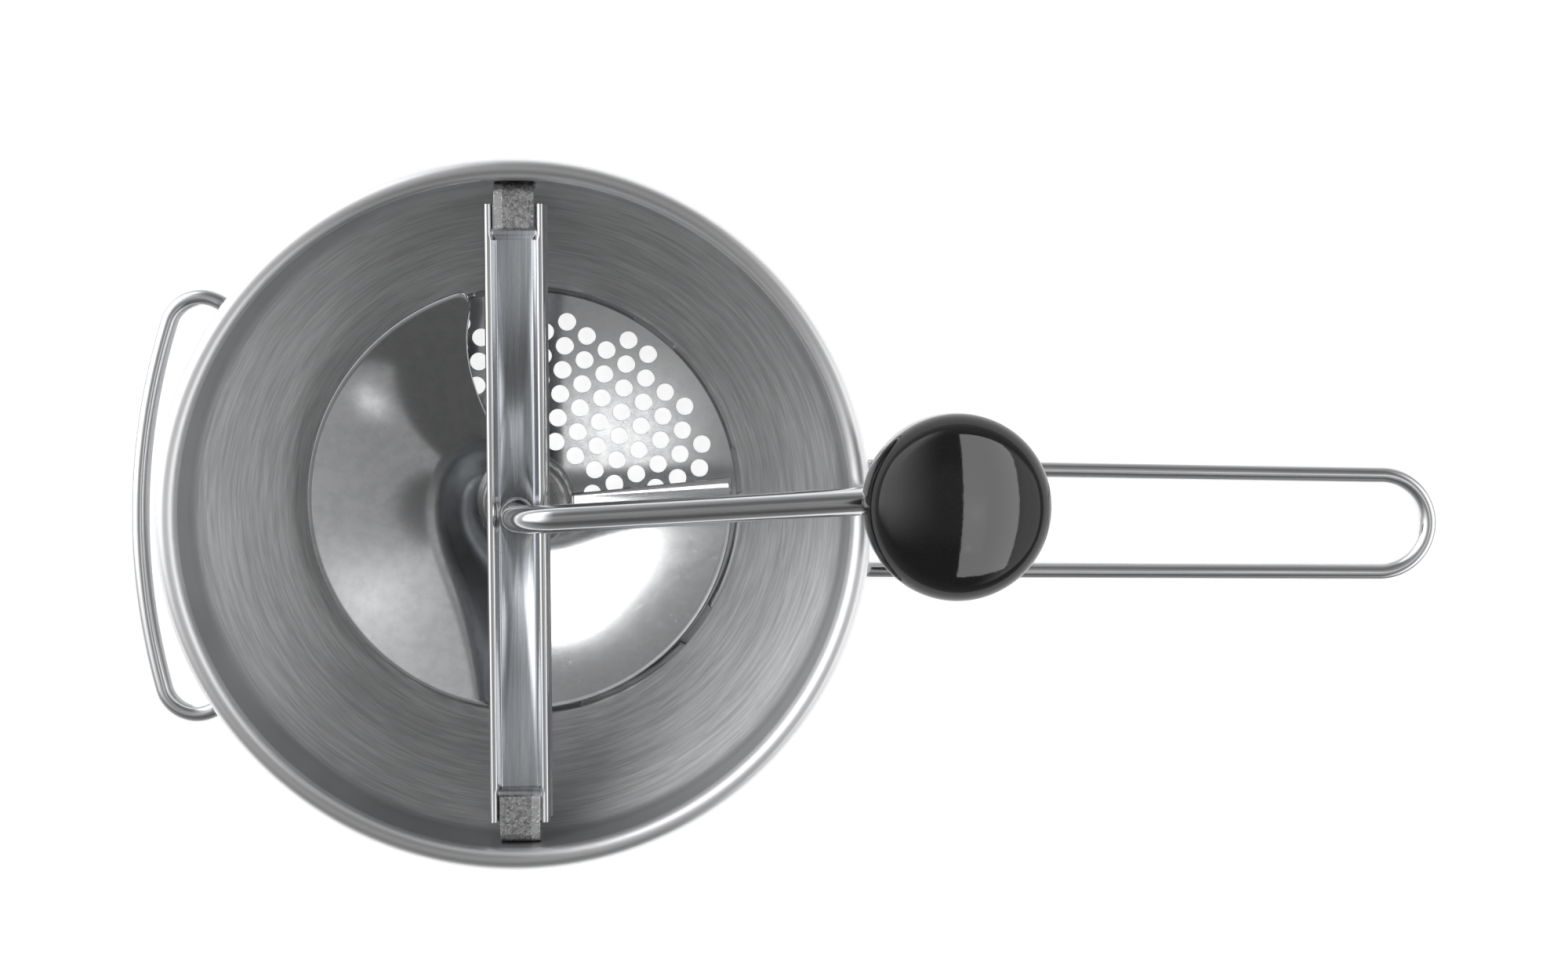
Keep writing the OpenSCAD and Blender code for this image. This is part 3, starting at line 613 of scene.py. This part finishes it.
def sievePlate():
    s = discShape
    low, high = boxOf("sieve_disc")
    radius = (high.y - low.y) / 2
    curve = bpy.data.curves.new("sievePlate", "CURVE")
    curve.dimensions = "2D"
    curve.fill_mode = "BOTH"
    curve.extrude = ((high.z - low.z) / 2 - s["edge"]) * mm
    curve.bevel_depth = s["edge"] * mm
    curve.bevel_resolution = 1
    curve.offset = -s["edge"] * mm

    def circle(centre, circleRadius, steps):
        spline = curve.splines.new("POLY")
        spline.points.add(steps - 1)
        spline.use_cyclic_u = True
        for i, point in enumerate(spline.points):
            place = (Vector(centre) + polar(circleRadius, 360 * i / steps)) * mm
            point.co = (place.x, place.y, 0, 1)

    circle((0, 0), radius, 180)
    circle((0, 0), s["rodHole"], 36)
    rows = math.ceil(2 * radius / s["pitch"])
    turn = Matrix.Rotation(math.radians(s["turn"]), 2)
    for i in range(-rows, rows + 1):
        for j in range(-rows, rows + 1):
            place = turn @ Vector((i + j / 2, j * math.sqrt(3) / 2)) * s["pitch"]
            if s["plain"] <= place.length <= radius - s["margin"]:
                circle(place, s["hole"] / 2, 28)
    flat = bpy.data.objects.new("sievePlate", curve)
    bpy.context.scene.collection.objects.link(flat)
    graph = bpy.context.evaluated_depsgraph_get()
    mesh = bpy.data.meshes.new_from_object(flat.evaluated_get(graph))
    bpy.data.objects.remove(flat)
    mesh.transform(Matrix.Translation((0, 0, (low.z + high.z) / 2 * mm)))
    mesh.shade_smooth()
    mesh.set_sharp_from_angle(angle=math.radians(12))
    piece = bpy.data.objects.new("sievePlate", mesh)
    bpy.context.scene.collection.objects.link(piece)
    finish = sheetFinish("sieveSteel", 0.62, 0.12, 0.02, 0.03)
    return fitted(piece, finish, "bowl", "disc_steel", "sieve_disc")


sievePlate()
print("sieve disc made")


# Handle and rest bail

wireShape = dict(thick=5.8, drop=9.5, bend=5.0, foot=8.0, sunk=0.3, bead=0.9, beadSide=1.35, beadWave=0.08)
handleShape = dict(endWidth=28.9, spread=0.3)
bailShape = dict(run=0.4, turn=-0.9, arc=192.5, halfWidth=60.6, corner=10.0, slant=27.0)
wireRadius = wireShape["thick"] / 2
mouthRadius = boxOf("bowl")[1].y - bowlShape["rimRoll"]
wireHeight = rimHeight - wireShape["drop"]
weldRadius = mouthRadius + bowlShape["wall"] + wireRadius - wireShape["sunk"]


def flatArc(centre, radius, start, end, steps):
    return [Vector((p.x, p.y, wireHeight)) for p in arcPoints(centre, radius, start, end, steps)]


def weldedLeg(start, angle):  # from the point where the leg leaves its bend, over and down the wall
    direction = polar(1, angle)
    along = -start.dot(direction)
    run = along - math.sqrt(along ** 2 - start.length ** 2 + weldRadius ** 2)
    end = start + direction * run
    low = wireHeight - wireShape["bend"] - wireShape["foot"]
    corners = [(start.x, start.y, wireHeight), (end.x, end.y, wireHeight), (end.x, end.y, low)]
    return bentLine(corners, [wireShape["bend"]], 10)


def weldBeads(parts, leg):  # the thin seams of metal on both sides of a welded foot
    foot = leg[-1]
    side = Vector((-foot.y, foot.x, 0)).normalized()
    wall = Vector((foot.x, foot.y, 0)).normalized() * (mouthRadius + bowlShape["wall"] + 0.15)
    for sign in (-1, 1):
        heights = [foot.z + 0.8 + (wireShape["foot"] - 1.2) * i / 8 for i in range(9)]
        ripple = [wireShape["beadSide"] + wireShape["beadWave"] * math.sin(z * 2.1 + sign) for z in heights]
        path = [Vector((wall.x, wall.y, z)) + side * sign * out for z, out in zip(heights, ripple)]
        parts.wire(path, wireShape["bead"], 10, wireShape["bead"] * 0.9)


def handleLoop():
    radius = handleShape["endWidth"] / 2
    centre = Vector((boxOf("handle")[1].x - wireRadius - radius, 0))
    tangent = 90 - handleShape["spread"]
    upper = weldedLeg(centre + polar(radius, tangent), 180 - handleShape["spread"])
    lower = weldedLeg(centre + polar(radius, -tangent), 180 + handleShape["spread"])
    parts = Parts()
    path = upper[::-1] + flatArc(centre, radius, tangent, -tangent, 40)[1:-1] + lower
    parts.wire(filled(path, 8.0), wireRadius, 28, 0.5)
    weldBeads(parts, upper)
    weldBeads(parts, lower)
    finish = wireFinish("handleWire", weldRadius=mouthRadius, **drawnWire)
    return fitted(parts.piece("handleLoop"), finish, "bowl", "wire_steel", "handle")


def restBail():
    s = bailShape
    legNormal = 90 - s["slant"]
    cornerSide = s["halfWidth"] - s["corner"]
    legSide = cornerSide + s["corner"] * math.sin(math.radians(legNormal))
    legDirection = polar(1, -s["slant"])
    legLength = s["run"] + wireShape["bend"]
    footSide = legSide + legLength * legDirection.y
    legStart = Vector((-math.sqrt(weldRadius ** 2 - footSide ** 2) - legLength * legDirection.x, legSide))
    cornerAt = legStart - polar(s["corner"], legNormal)
    halfAngle = math.degrees(math.asin(cornerSide / (s["arc"] - s["corner"])))
    arcAt = (cornerAt.x + (s["arc"] - s["corner"]) * math.cos(math.radians(halfAngle)), 0)
    leg = weldedLeg(legStart, -s["slant"])
    half = leg[::-1] + flatArc(cornerAt, s["corner"], legNormal, 180 - halfAngle, 16)[1:]
    half += flatArc(arcAt, s["arc"], 180 - halfAngle, 180, 16)[1:]
    mirrored = [Vector((p.x, -p.y, p.z)) for p in half]
    parts = Parts()
    parts.wire(filled(half + mirrored[-2::-1], 6.0), wireRadius, 28, 0.5)
    weldBeads(parts, leg)
    weldBeads(parts, [Vector((p.x, -p.y, p.z)) for p in leg])
    parts.moved(Matrix.Rotation(math.radians(s["turn"]), 4, "Z"))
    finish = bpy.data.materials["handleWire"]
    return fitted(parts.piece("restBail"), finish, "bowl", "wire_steel", "rest_bail")


handleLoop()
restBail()
print("handle and bail made")


# Catch lugs and rivets

lugShape = dict(reach=13.5, thick=1.4, bend=3.0, wallRoom=0.4, edge=0.28, rivet=2.5, rivetInset=2.65)
barTurn = 1.0


def onBar(parts, half=0, first=0):  # turns what was made along +Y to the crossbar's own direction
    parts.moved(Matrix.Rotation(math.radians(barTurn + 180 * half), 4, "Z"), first)


def lugWidth():
    low, high = boxOf("lug_rear")
    reach = lugShape["reach"] - lugShape["wallRoom"]
    turn = math.radians(barTurn)
    return (high.x - low.x - reach * math.sin(turn)) / math.cos(turn)


def catchLug(name, half, node):
    s = lugShape
    low, high = boxOf(node)
    middle = s["thick"] / 2
    back = mouthRadius - s["wallRoom"] - middle
    corners = [(back, low.z), (back, high.z - middle), (mouthRadius - s["reach"], high.z - middle)]
    line = bentLine(corners, [s["bend"] - middle], 8)
    outline = sheetOutline(line, s["thick"], 2)
    width = lugWidth()
    parts = Parts()
    columns = 14
    rows = [[((i / columns - 0.5) * width, p.x, p.y) for p in outline] for i in range(columns + 1)]
    parts.rows(rows, rows, capped=True)
    onBar(parts, half)
    piece = bevelled(parts.piece(name), s["edge"], 3, 60)
    finish = bpy.data.materials.get("tumbledSteel") or lugFinish()
    return fitted(piece, finish, "bowl", "blasted_steel", node)


def rivetHeads():
    s = lugShape
    inner = mouthRadius - s["wallRoom"] - s["thick"]
    outer = mouthRadius + bowlShape["wall"]
    headRadius, headHeight = s["rivet"] * 0.85, s["rivet"] * 0.42
    low, high = boxOf("lug_rivets")
    height = (low.z + high.z) / 2
    dome = [polar(1, a) for a in range(0, 91, 15)]
    outline = [(axisGap, inner - headHeight)]
    outline += [(headRadius * p.x, inner - headHeight * p.y) for p in dome[-2::-1]]
    outline += [(s["rivet"] / 2, inner), (s["rivet"] / 2, outer)]
    outline += [(headRadius * p.x, outer + headHeight * p.y) for p in dome[:-1]]
    outline += [(axisGap, outer + headHeight)]
    spacing = lugWidth() / 2 - s["rivetInset"]
    tipped = Matrix.Rotation(math.radians(-90), 4, "X")
    parts = Parts()
    for half in (0, 1):
        for across in (-spacing, spacing):
            first = len(parts.points)
            parts.turn([Vector(point) for point in outline], [15 * i for i in range(24)])
            parts.moved(Matrix.Translation((across, 0, height)) @ tipped, first)
            onBar(parts, half, first)
    finish = turnedFinish("rivetSteel", 0.62, 0.24)
    return fitted(parts.piece("rivetHeads"), finish, "bowl", "bright_steel", "lug_rivets")


catchLug("catchLugRear", 0, "lug_rear")
catchLug("catchLugFront", 1, "lug_front")
rivetHeads()
print("lugs made")


# Crossbar

barShape = dict(halfLength=90.2, width=17.2, thick=1.2, webDrop=2.6, seatDrop=0.6, seatLength=9.7, rail=1.0,
                webInset=1.4, flare=0.8, lip=1.6, hole=4.4, collar=0.5, collarBelow=3.0, collarRise=0.6)


def barSection(floor, floorHalf, height):  # the closed outline across the bar, (across, up)
    s = barShape
    half, slot = s["width"] / 2, s["width"] / 2 - 2 * s["rail"]
    outer = [(half + s["flare"], 0.0, 0.25), (half, s["lip"], 1.2), (half, height, 0.95),
             (slot, height, 0.9), (floorHalf, floor, 0.5)]
    inner = [(half - s["thick"], floor - s["thick"], 0.9), (half - s["thick"], s["lip"], 0.6),
             (half + s["flare"] - s["thick"], 0.0, 0.25)]
    left = [(-x, z, r) for x, z, r in outer[::-1]]
    return bentLoop(outer + left + [(-x, z, r) for x, z, r in inner[::-1]] + inner, 4)


def crossbar():  # gives back the height of its web's top
    s = barShape
    low, high = boxOf("crossbar")
    height = high.z - low.z
    slot = s["width"] / 2 - 2 * s["rail"]
    seatStart = s["halfLength"] - s["seatLength"]
    web = (height - s["webDrop"], slot - s["webInset"])
    seat = (height - s["webDrop"] - s["seatDrop"], slot - 0.05)
    ease = [i / 8 for i in range(9)]
    stations = [(s["halfLength"], 1.0)]
    stations += [(seatStart + 1.1 - 2.0 * t, 1 - t * t * (3 - 2 * t)) for t in ease]
    stations += [(-y, share) for y, share in stations[::-1]]
    rows = []
    for y, share in stations:
        floor = web[0] + (seat[0] - web[0]) * share
        floorHalf = web[1] + (seat[1] - web[1]) * share
        rows.append([(p.x, y, low.z + p.y) for p in barSection(floor, floorHalf, height)])
    parts = Parts()
    parts.rows(rows, rows, capped=True)
    onBar(parts)
    piece = bevelled(parts.piece("crossbarChannel"), 0.3, 3, 60)
    webTop = low.z + web[0]
    drillRadius, reach = s["hole"] + s["collar"] * 0.6, 6
    drill = turned("drill", [(axisGap, webTop - reach), (drillRadius, webTop - reach),
                             (drillRadius, webTop + reach), (axisGap, webTop + reach)], 72)
    cut = piece.modifiers.new("cut", "BOOLEAN")
    cut.object = drill
    cut.solver = "EXACT"
    settle(piece)
    bpy.data.objects.remove(drill)
    fitted(piece, crossbarFinish(), "crossbar", "crossbar_steel", "crossbar")
    return webTop


def barCollar(webTop):  # the drawn collar round the rod, with its rolled top edge
    s = barShape
    inner, outer = s["hole"], s["hole"] + s["collar"]
    top = webTop + s["collarRise"]
    skirt = webTop - s["thick"] - s["collarBelow"]
    outline = [(outer, skirt), (inner, skirt)] + arcPoints((inner + 0.25, top - 0.25), 0.25, 180, 90, 4)
    outline += arcPoints((outer + 0.75, top), 0.75, 200, 268, 6)
    outline += [(outer + 0.7, webTop - 0.3), (outer, webTop - 0.3)]
    piece = turned("barCollar", outline, 72)
    return fitted(piece, turnedFinish("collarSteel", 0.66, 0.17), "crossbar", "crossbar_steel")


barCollar(crossbar())
print("crossbar made")


# Spring and its cups

springShape = dict(thick=1.4, coils=8, endCoils=1, cup=1.0, cupRim=0.5, pressed=4.0)
rodFit = 4.05  # bore radius of the cup and the washer that sit on the rod


def springCup(name, node, hole, flip):
    s = springShape
    low, high = boxOf(node)
    radius = (high.y - low.y) / 2
    rim = radius - s["cupRim"]
    corners = [(hole, 0, 0.1), (radius, 0, 0.4), (radius, 2 * s["cup"], 0.2), (rim, 2 * s["cup"], 0.2),
               (rim, s["cup"], 0.25), (hole, s["cup"], 0.1)]
    outline = [(p.x, high.z - p.y if flip else low.z + p.y) for p in bentLoop(corners)]
    finish = bpy.data.materials.get("cupSteel") or turnedFinish("cupSteel", 0.60, 0.26)
    body = "crossbar" if flip else "rotor"
    return fitted(turned(name, outline, 72), finish, body, "bright_steel", node)


def pressSpring():
    s = springShape
    low, high = boxOf("spring")
    wire = s["thick"] / 2
    radius = (high.y - low.y) / 2 - wire
    bottom, top = low.z + wire, high.z - wire
    perTurn, sides = 36, 12
    turns = s["coils"] + 2 * s["endCoils"]
    lift = (top - bottom) - 2 * s["endCoils"] * s["thick"]
    path = []
    for i in range(int(turns * perTurn) + 1):
        u = i / perTurn
        free = min(max(u - s["endCoils"], 0), s["coils"])
        closed = min(u, s["endCoils"]) + max(u - s["endCoils"] - s["coils"], 0)
        place = polar(radius, 360 * u)
        path.append((place.x, place.y, bottom + closed * s["thick"] + lift * free / s["coils"]))
    parts = Parts()
    parts.wire(path, wire, sides, 0.2)
    piece = fitted(parts.piece("pressSpring"), wireFinish("springWire", 0.56, 0.22, 0.01), "rotor",
                   "spring_steel", "spring")
    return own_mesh(piece)


springCup("springCupUpper", "spring_cup_upper", barShape["hole"] + barShape["collar"] + 0.05, True)
springCup("springCupLower", "spring_cup_lower", rodFit, False)
pressSpring()
print("spring made")


# Crank

crankShape = dict(rod=8.0, length=121.8, shaftBend=12.0, postBend=10.0, turn=3.85, tip=0.8, postCollar=2.0,
                  collarHeight=1.0)


def crankRod():
    s = crankShape
    radius = s["rod"] / 2
    low, high = boxOf("crank")
    collarTop = boxOf("knob_washer")[0].z
    collarFoot = collarTop - s["collarHeight"]
    armHeight = collarFoot - s["postBend"]
    corners = [(0, 0, low.z), (0, 0, armHeight), (s["length"], 0, armHeight), (s["length"], 0, high.z)]
    path = filled(bentLine(corners, [s["shaftBend"], s["postBend"]], 14), 6.0)
    parts = Parts()
    parts.wire(path, radius, 36, s["tip"])
    first = len(parts.points)
    inside, outside = radius - 0.2, radius + s["postCollar"]
    collar = [(inside, collarFoot, 0.09), (outside, collarFoot, 0.3),
              (outside, collarTop, 0.3), (inside, collarTop, 0.09)]
    parts.turn(bentLoop(collar), [7.5 * i for i in range(48)])
    parts.moved(Matrix.Translation((s["length"], 0, 0)), first)
    parts.moved(Matrix.Rotation(math.radians(s["turn"]), 4, "Z"))
    finish = wireFinish("rodSteel", 0.70, 0.13, 0.004)
    return fitted(parts.piece("crankRod"), finish, "rotor", "rod_steel", "crank")


crankRod()
print("crank made")


# Blade and hub

bladeShape = dict(thick=1.0, rise=28.0, power=1.15, hubShare=0.3, gap=0.35, lowInset=1.3, highReach=2.4,
                  lead=115.0, lowEdge=6.5, swing=12.7, swingStart=28.0, corner=6.0, hubRoom=0.02,
                  columns=150, rings=40)


discLow, discHigh = boxOf("sieve_disc")
discRadius = (discHigh.y - discLow.y) / 2
hubRadius = (boxOf("blade_hub")[1].y - boxOf("blade_hub")[0].y) / 2


# A point of the lower skin: u runs from the low edge to the leading edge, share from the hub to the rim
def bladeSkin(u, share):
    s = bladeShape
    lowReach, highReach = discRadius - s["lowInset"], discRadius + s["highReach"]
    reach = lowReach + (highReach - lowReach) * u - s["thick"] / 2
    sweep = 360 + s["lowEdge"] - s["lead"]
    inner = hubRadius + s["hubRoom"]
    left = (1 - u) * math.radians(sweep) * reach
    if left < s["corner"]:
        reach -= s["corner"] - math.sqrt(s["corner"] ** 2 - (s["corner"] - left) ** 2)
    radius = inner + (reach - inner) * share
    swing = s["swing"] * (max(radius - s["swingStart"], 0) / (highReach - s["swingStart"])) ** 2
    place = polar(radius, s["lowEdge"] - u * (sweep + swing))
    rise = s["hubShare"] + (1 - s["hubShare"]) * (radius - inner) / (highReach - inner)
    rise *= s["rise"] * u ** s["power"]
    return Vector((place.x, place.y, discHigh.z + s["gap"] + rise))


def bladeRow(u, ahead, share):  # one section, moved ahead of its edge and thinned as that edge is rounded
    s = bladeShape
    half = s["thick"] / 2
    middle = [bladeSkin(u, j / s["rings"]) + Vector((0, 0, half)) for j in range(s["rings"] + 1)]
    along = bladeSkin(min(u + 0.01, 1), 0.5) - bladeSkin(max(u - 0.01, 0), 0.5)
    middle = [point + along.normalized() * ahead * half for point in middle]
    outward = Vector((middle[-1].x, middle[-1].y, 0)).normalized()
    up = Vector((0, 0, half * share))
    cap = [polar(half * share, angle) for angle in (-60, -30, 0, 30, 60)]
    rim = [middle[-1] + outward * p.x + Vector((0, 0, p.y)) for p in cap]
    return [point - up for point in middle] + rim + [point + up for point in middle[::-1]]


def bladeSheet():
    s = bladeShape
    stations = [(0, -1, 0), (0, -0.87, 0.5), (0, -0.5, 0.87)]
    stations += [(1 - (1 - i / s["columns"]) ** 1.5, 0, 1) for i in range(s["columns"] + 1)]
    stations += [(1, 0.5, 0.87), (1, 0.87, 0.5), (1, 1, 0)]
    rows = [bladeRow(*station) for station in stations]
    parts = Parts()
    parts.rows(rows, rows)
    piece = parts.piece("bladeSheet", 60)
    finish = sheetFinish("bladeSteel", **polishedSheet)
    return fitted(piece, finish, "rotor", "blade_steel", "blade")


def bladeHub():
    low, high = boxOf("blade_hub")
    radius = (high.y - low.y) / 2
    hole = crankShape["rod"] / 2 + 0.03
    corners = [(hole, low.z, 0.3), (radius, low.z, 0.5), (radius, high.z, 4.0), (hole, high.z, 0.5)]
    piece = turned("bladeHub", bentLoop(corners, 8), 120)
    return fitted(piece, turnedFinish("hubSteel", 0.46, 0.27), "rotor", "blade_steel", "blade_hub")


bladeSheet()
bladeHub()
print("blade made")


# Knob

knobShape = dict(width=50.6, side=0.5, under=12.0, corner=4.0, edge=9.0, dome=50.0, neck=21.0, core=15.0,
                 coreShare=0.68, coreRoom=5.0, footRound=0.6)
postAt = Matrix.Rotation(math.radians(crankShape["turn"]), 2) @ Vector((crankShape["length"], 0))


def knobGrip():
    s = knobShape
    low, high = boxOf("knob")
    height = high.z - low.z
    radius, neck, bore = s["width"] / 2, s["neck"] / 2, s["core"] / 2 + 0.03
    sideHeight = height * s["side"]
    underHeight = sideHeight - s["corner"]
    under = min(s["under"], radius - s["corner"] - neck)
    domeHeight = height - s["dome"]
    edgeAt = Vector((radius - s["edge"],
                     domeHeight + math.sqrt((s["dome"] - s["edge"]) ** 2 - (radius - s["edge"]) ** 2)))
    edgeAngle = math.degrees(math.atan2(edgeAt.y - domeHeight, edgeAt.x))
    foot = s["footRound"]
    outline = [Vector((bore, 0))] + arcPoints((neck - foot, foot), foot, -90, 0, 4)
    outline += arcPoints((neck + under, underHeight - under), under, 180, 90, 20)
    outline += arcPoints((radius - s["corner"], sideHeight), s["corner"], -90, 0, 12)
    outline += arcPoints(edgeAt, s["edge"], 0, edgeAngle, 20)
    outline += arcPoints((0, domeHeight), s["dome"], edgeAngle, 90, 24)[1:]
    outline[-1].x = axisGap
    boreTop = height * s["coreShare"] + s["coreRoom"]
    outline += [Vector((axisGap, boreTop)), Vector((bore - 0.5, boreTop)), Vector((bore, boreTop - 0.5))]
    piece = turned("knobGrip", [(p.x, p.y + low.z) for p in outline], 160, postAt, 50)
    return fitted(piece, knobFinish(postAt), "knob", "knob_plastic", "knob")


def postWasher():
    low, high = boxOf("knob_washer")
    edge = knobShape["neck"] / 2 - 2
    corners = [(rodFit, low.z, 0.15), (edge, low.z, 0.25), (edge, high.z, 0.25), (rodFit, high.z, 0.15)]
    piece = turned("postWasher", bentLoop(corners), 72, postAt)
    finish = turnedFinish("washerSteel", 0.62, 0.22, postAt)
    return fitted(piece, finish, "rotor", "bright_steel", "knob_washer")


knobGrip()
postWasher()
print("knob made")


# CAD pieces that stay as they are

def dress(node, finish):
    piece = frame["nodes"][node]
    piece.data.materials.clear()
    piece.data.materials.append(finish)


dress("thrust_washer", bpy.data.materials["cupSteel"])
dress("drive_pin", oiledFinish())
dress("post_clip", bpy.data.materials["hardenedSteel"])
dress("knob_core", coreFinish())
print("inner pieces dressed")


# Floor and light

studio = dict(floorSize=60.0, floorGlow=0.66, floorTone=0.86)
skyShape = dict(zenith=0.30, high=0.15, low=0.34, horizon=0.62, lean=0.30)
softBoxes = [  # centre and half size as slopes from straight up, edge softness, brightness
    dict(at=(-1.9, 1.0), half=(1.4, 1.3), soft=0.4, glow=2.0),
    dict(at=(2.2, -0.4), half=(1.4, 1.5), soft=0.4, glow=1.25),
    dict(at=(0.26, -0.27), half=(0.14, 0.35), soft=0.012, glow=0.24),
    dict(at=(0.28, -0.10), half=(0.05, 0.05), soft=0.12, glow=0.9),
    dict(at=(0.21, -0.54), half=(0.02, 0.02), soft=0.05, glow=1.4),
]
panels = [  # what mirrors it, its name, centre and half size as slopes, brightness
    dict(piece="knobGrip", name="knobWindow", at=(0.535, 0.0), half=(0.415, 1.1), glow=4.0),
    dict(piece="bladeSheet", name="bladePanel", at=(0.045, 0.118), half=(0.12, 0.046), glow=3.4),
    dict(piece="sievePlate", name="discPanel", at=(-0.004, -0.040), half=(0.028, 0.026), glow=2.2),
]
panelHeight = 2.0


def whiteFloor():
    s = studio
    finish = newFinish("paleFloor")
    x, y, z = finish.place()
    mottle = finish.noise(x * 0.004, y * 0.004, 0.0, 2.0)
    tone = finish.blend(finish.ramp(mottle, 0.3, 0.7), grey(s["floorTone"]), grey(s["floorTone"] * 1.01))
    material = finish.surface(Base_Color=tone, Roughness=0.7, Emission_Color=grey(1.0),
                              Emission_Strength=s["floorGlow"])
    half = s["floorSize"] / 2 / mm
    rows = [[(x, y, 0) for y in (-half, half)] for x in (-half, half)]
    parts = Parts()
    parts.rows(rows, rows, closeColumns=False)
    floor = parts.piece("floor")
    floor.location.z = cadBounds[0][2] - 0.0002
    floor.data.materials.append(material)


def studioLight():  # an even pale room with soft boxes overhead
    s = skyShape
    world = bpy.data.worlds.new("studio")
    bpy.context.scene.world = world
    finish = Finish(world)
    x, y, z = finish.split(finish.node("ShaderNodeTexCoord", output=0))
    up = finish.ramp(z, 0.02, 1.0, 0.02, 1.0, False)
    level = finish.ramp(z, 0.0, 0.35, s["horizon"], s["low"])
    level = level + finish.ramp(z, 0.35, 0.75, 0.0, s["high"] - s["low"])
    level = level + finish.ramp(z, 0.0, 0.06, 0.38, 0.0)
    level = level + finish.ramp(z, 0.86, 0.97, 0.0, s["zenith"] - s["high"])
    level = level * ((y - x) * s["lean"] + 1.0)
    for box in softBoxes:
        glow = box["glow"]
        for axis, at, half in zip((x, y), box["at"], box["half"]):
            off = abs(axis / up - at)
            glow = finish.ramp(off, half + box["soft"], half - box["soft"]) * glow
        level = level + glow
    colour = finish.node("ShaderNodeCombineXYZ", {}, {0: level, 1: level, 2: level * 1.01})
    background = finish.node("ShaderNodeBackground", {}, {"Color": colour, "Strength": 1.0})
    finish.node("ShaderNodeOutputWorld", {}, {"Surface": background})


def panelLight(panel):  # a flat light overhead that only one piece mirrors
    light = bpy.data.lights.new(panel["name"], "AREA")
    light.shape = "RECTANGLE"
    light.size, light.size_y = [2 * half * panelHeight for half in panel["half"]]
    light.energy = math.pi * light.size * light.size_y * panel["glow"]
    lamp = bpy.data.objects.new(panel["name"], light)
    bpy.context.scene.collection.objects.link(lamp)
    receiver = bpy.data.objects[panel["piece"]]
    corners = [receiver.matrix_world @ Vector(corner) for corner in receiver.bound_box]
    middle = sum(corners, Vector()) / len(corners)
    lamp.location = middle + Vector((panel["at"][0], panel["at"][1], 1.0)) * panelHeight
    lamp.visible_camera = False
    lit = bpy.data.collections.new(panel["name"])
    lit.objects.link(receiver)
    lamp.light_linking.receiver_collection = lit


whiteFloor()
studioLight()
for panel in panels:
    panelLight(panel)
bpy.context.scene.view_settings.view_transform = "Standard"
print("floor and light made")
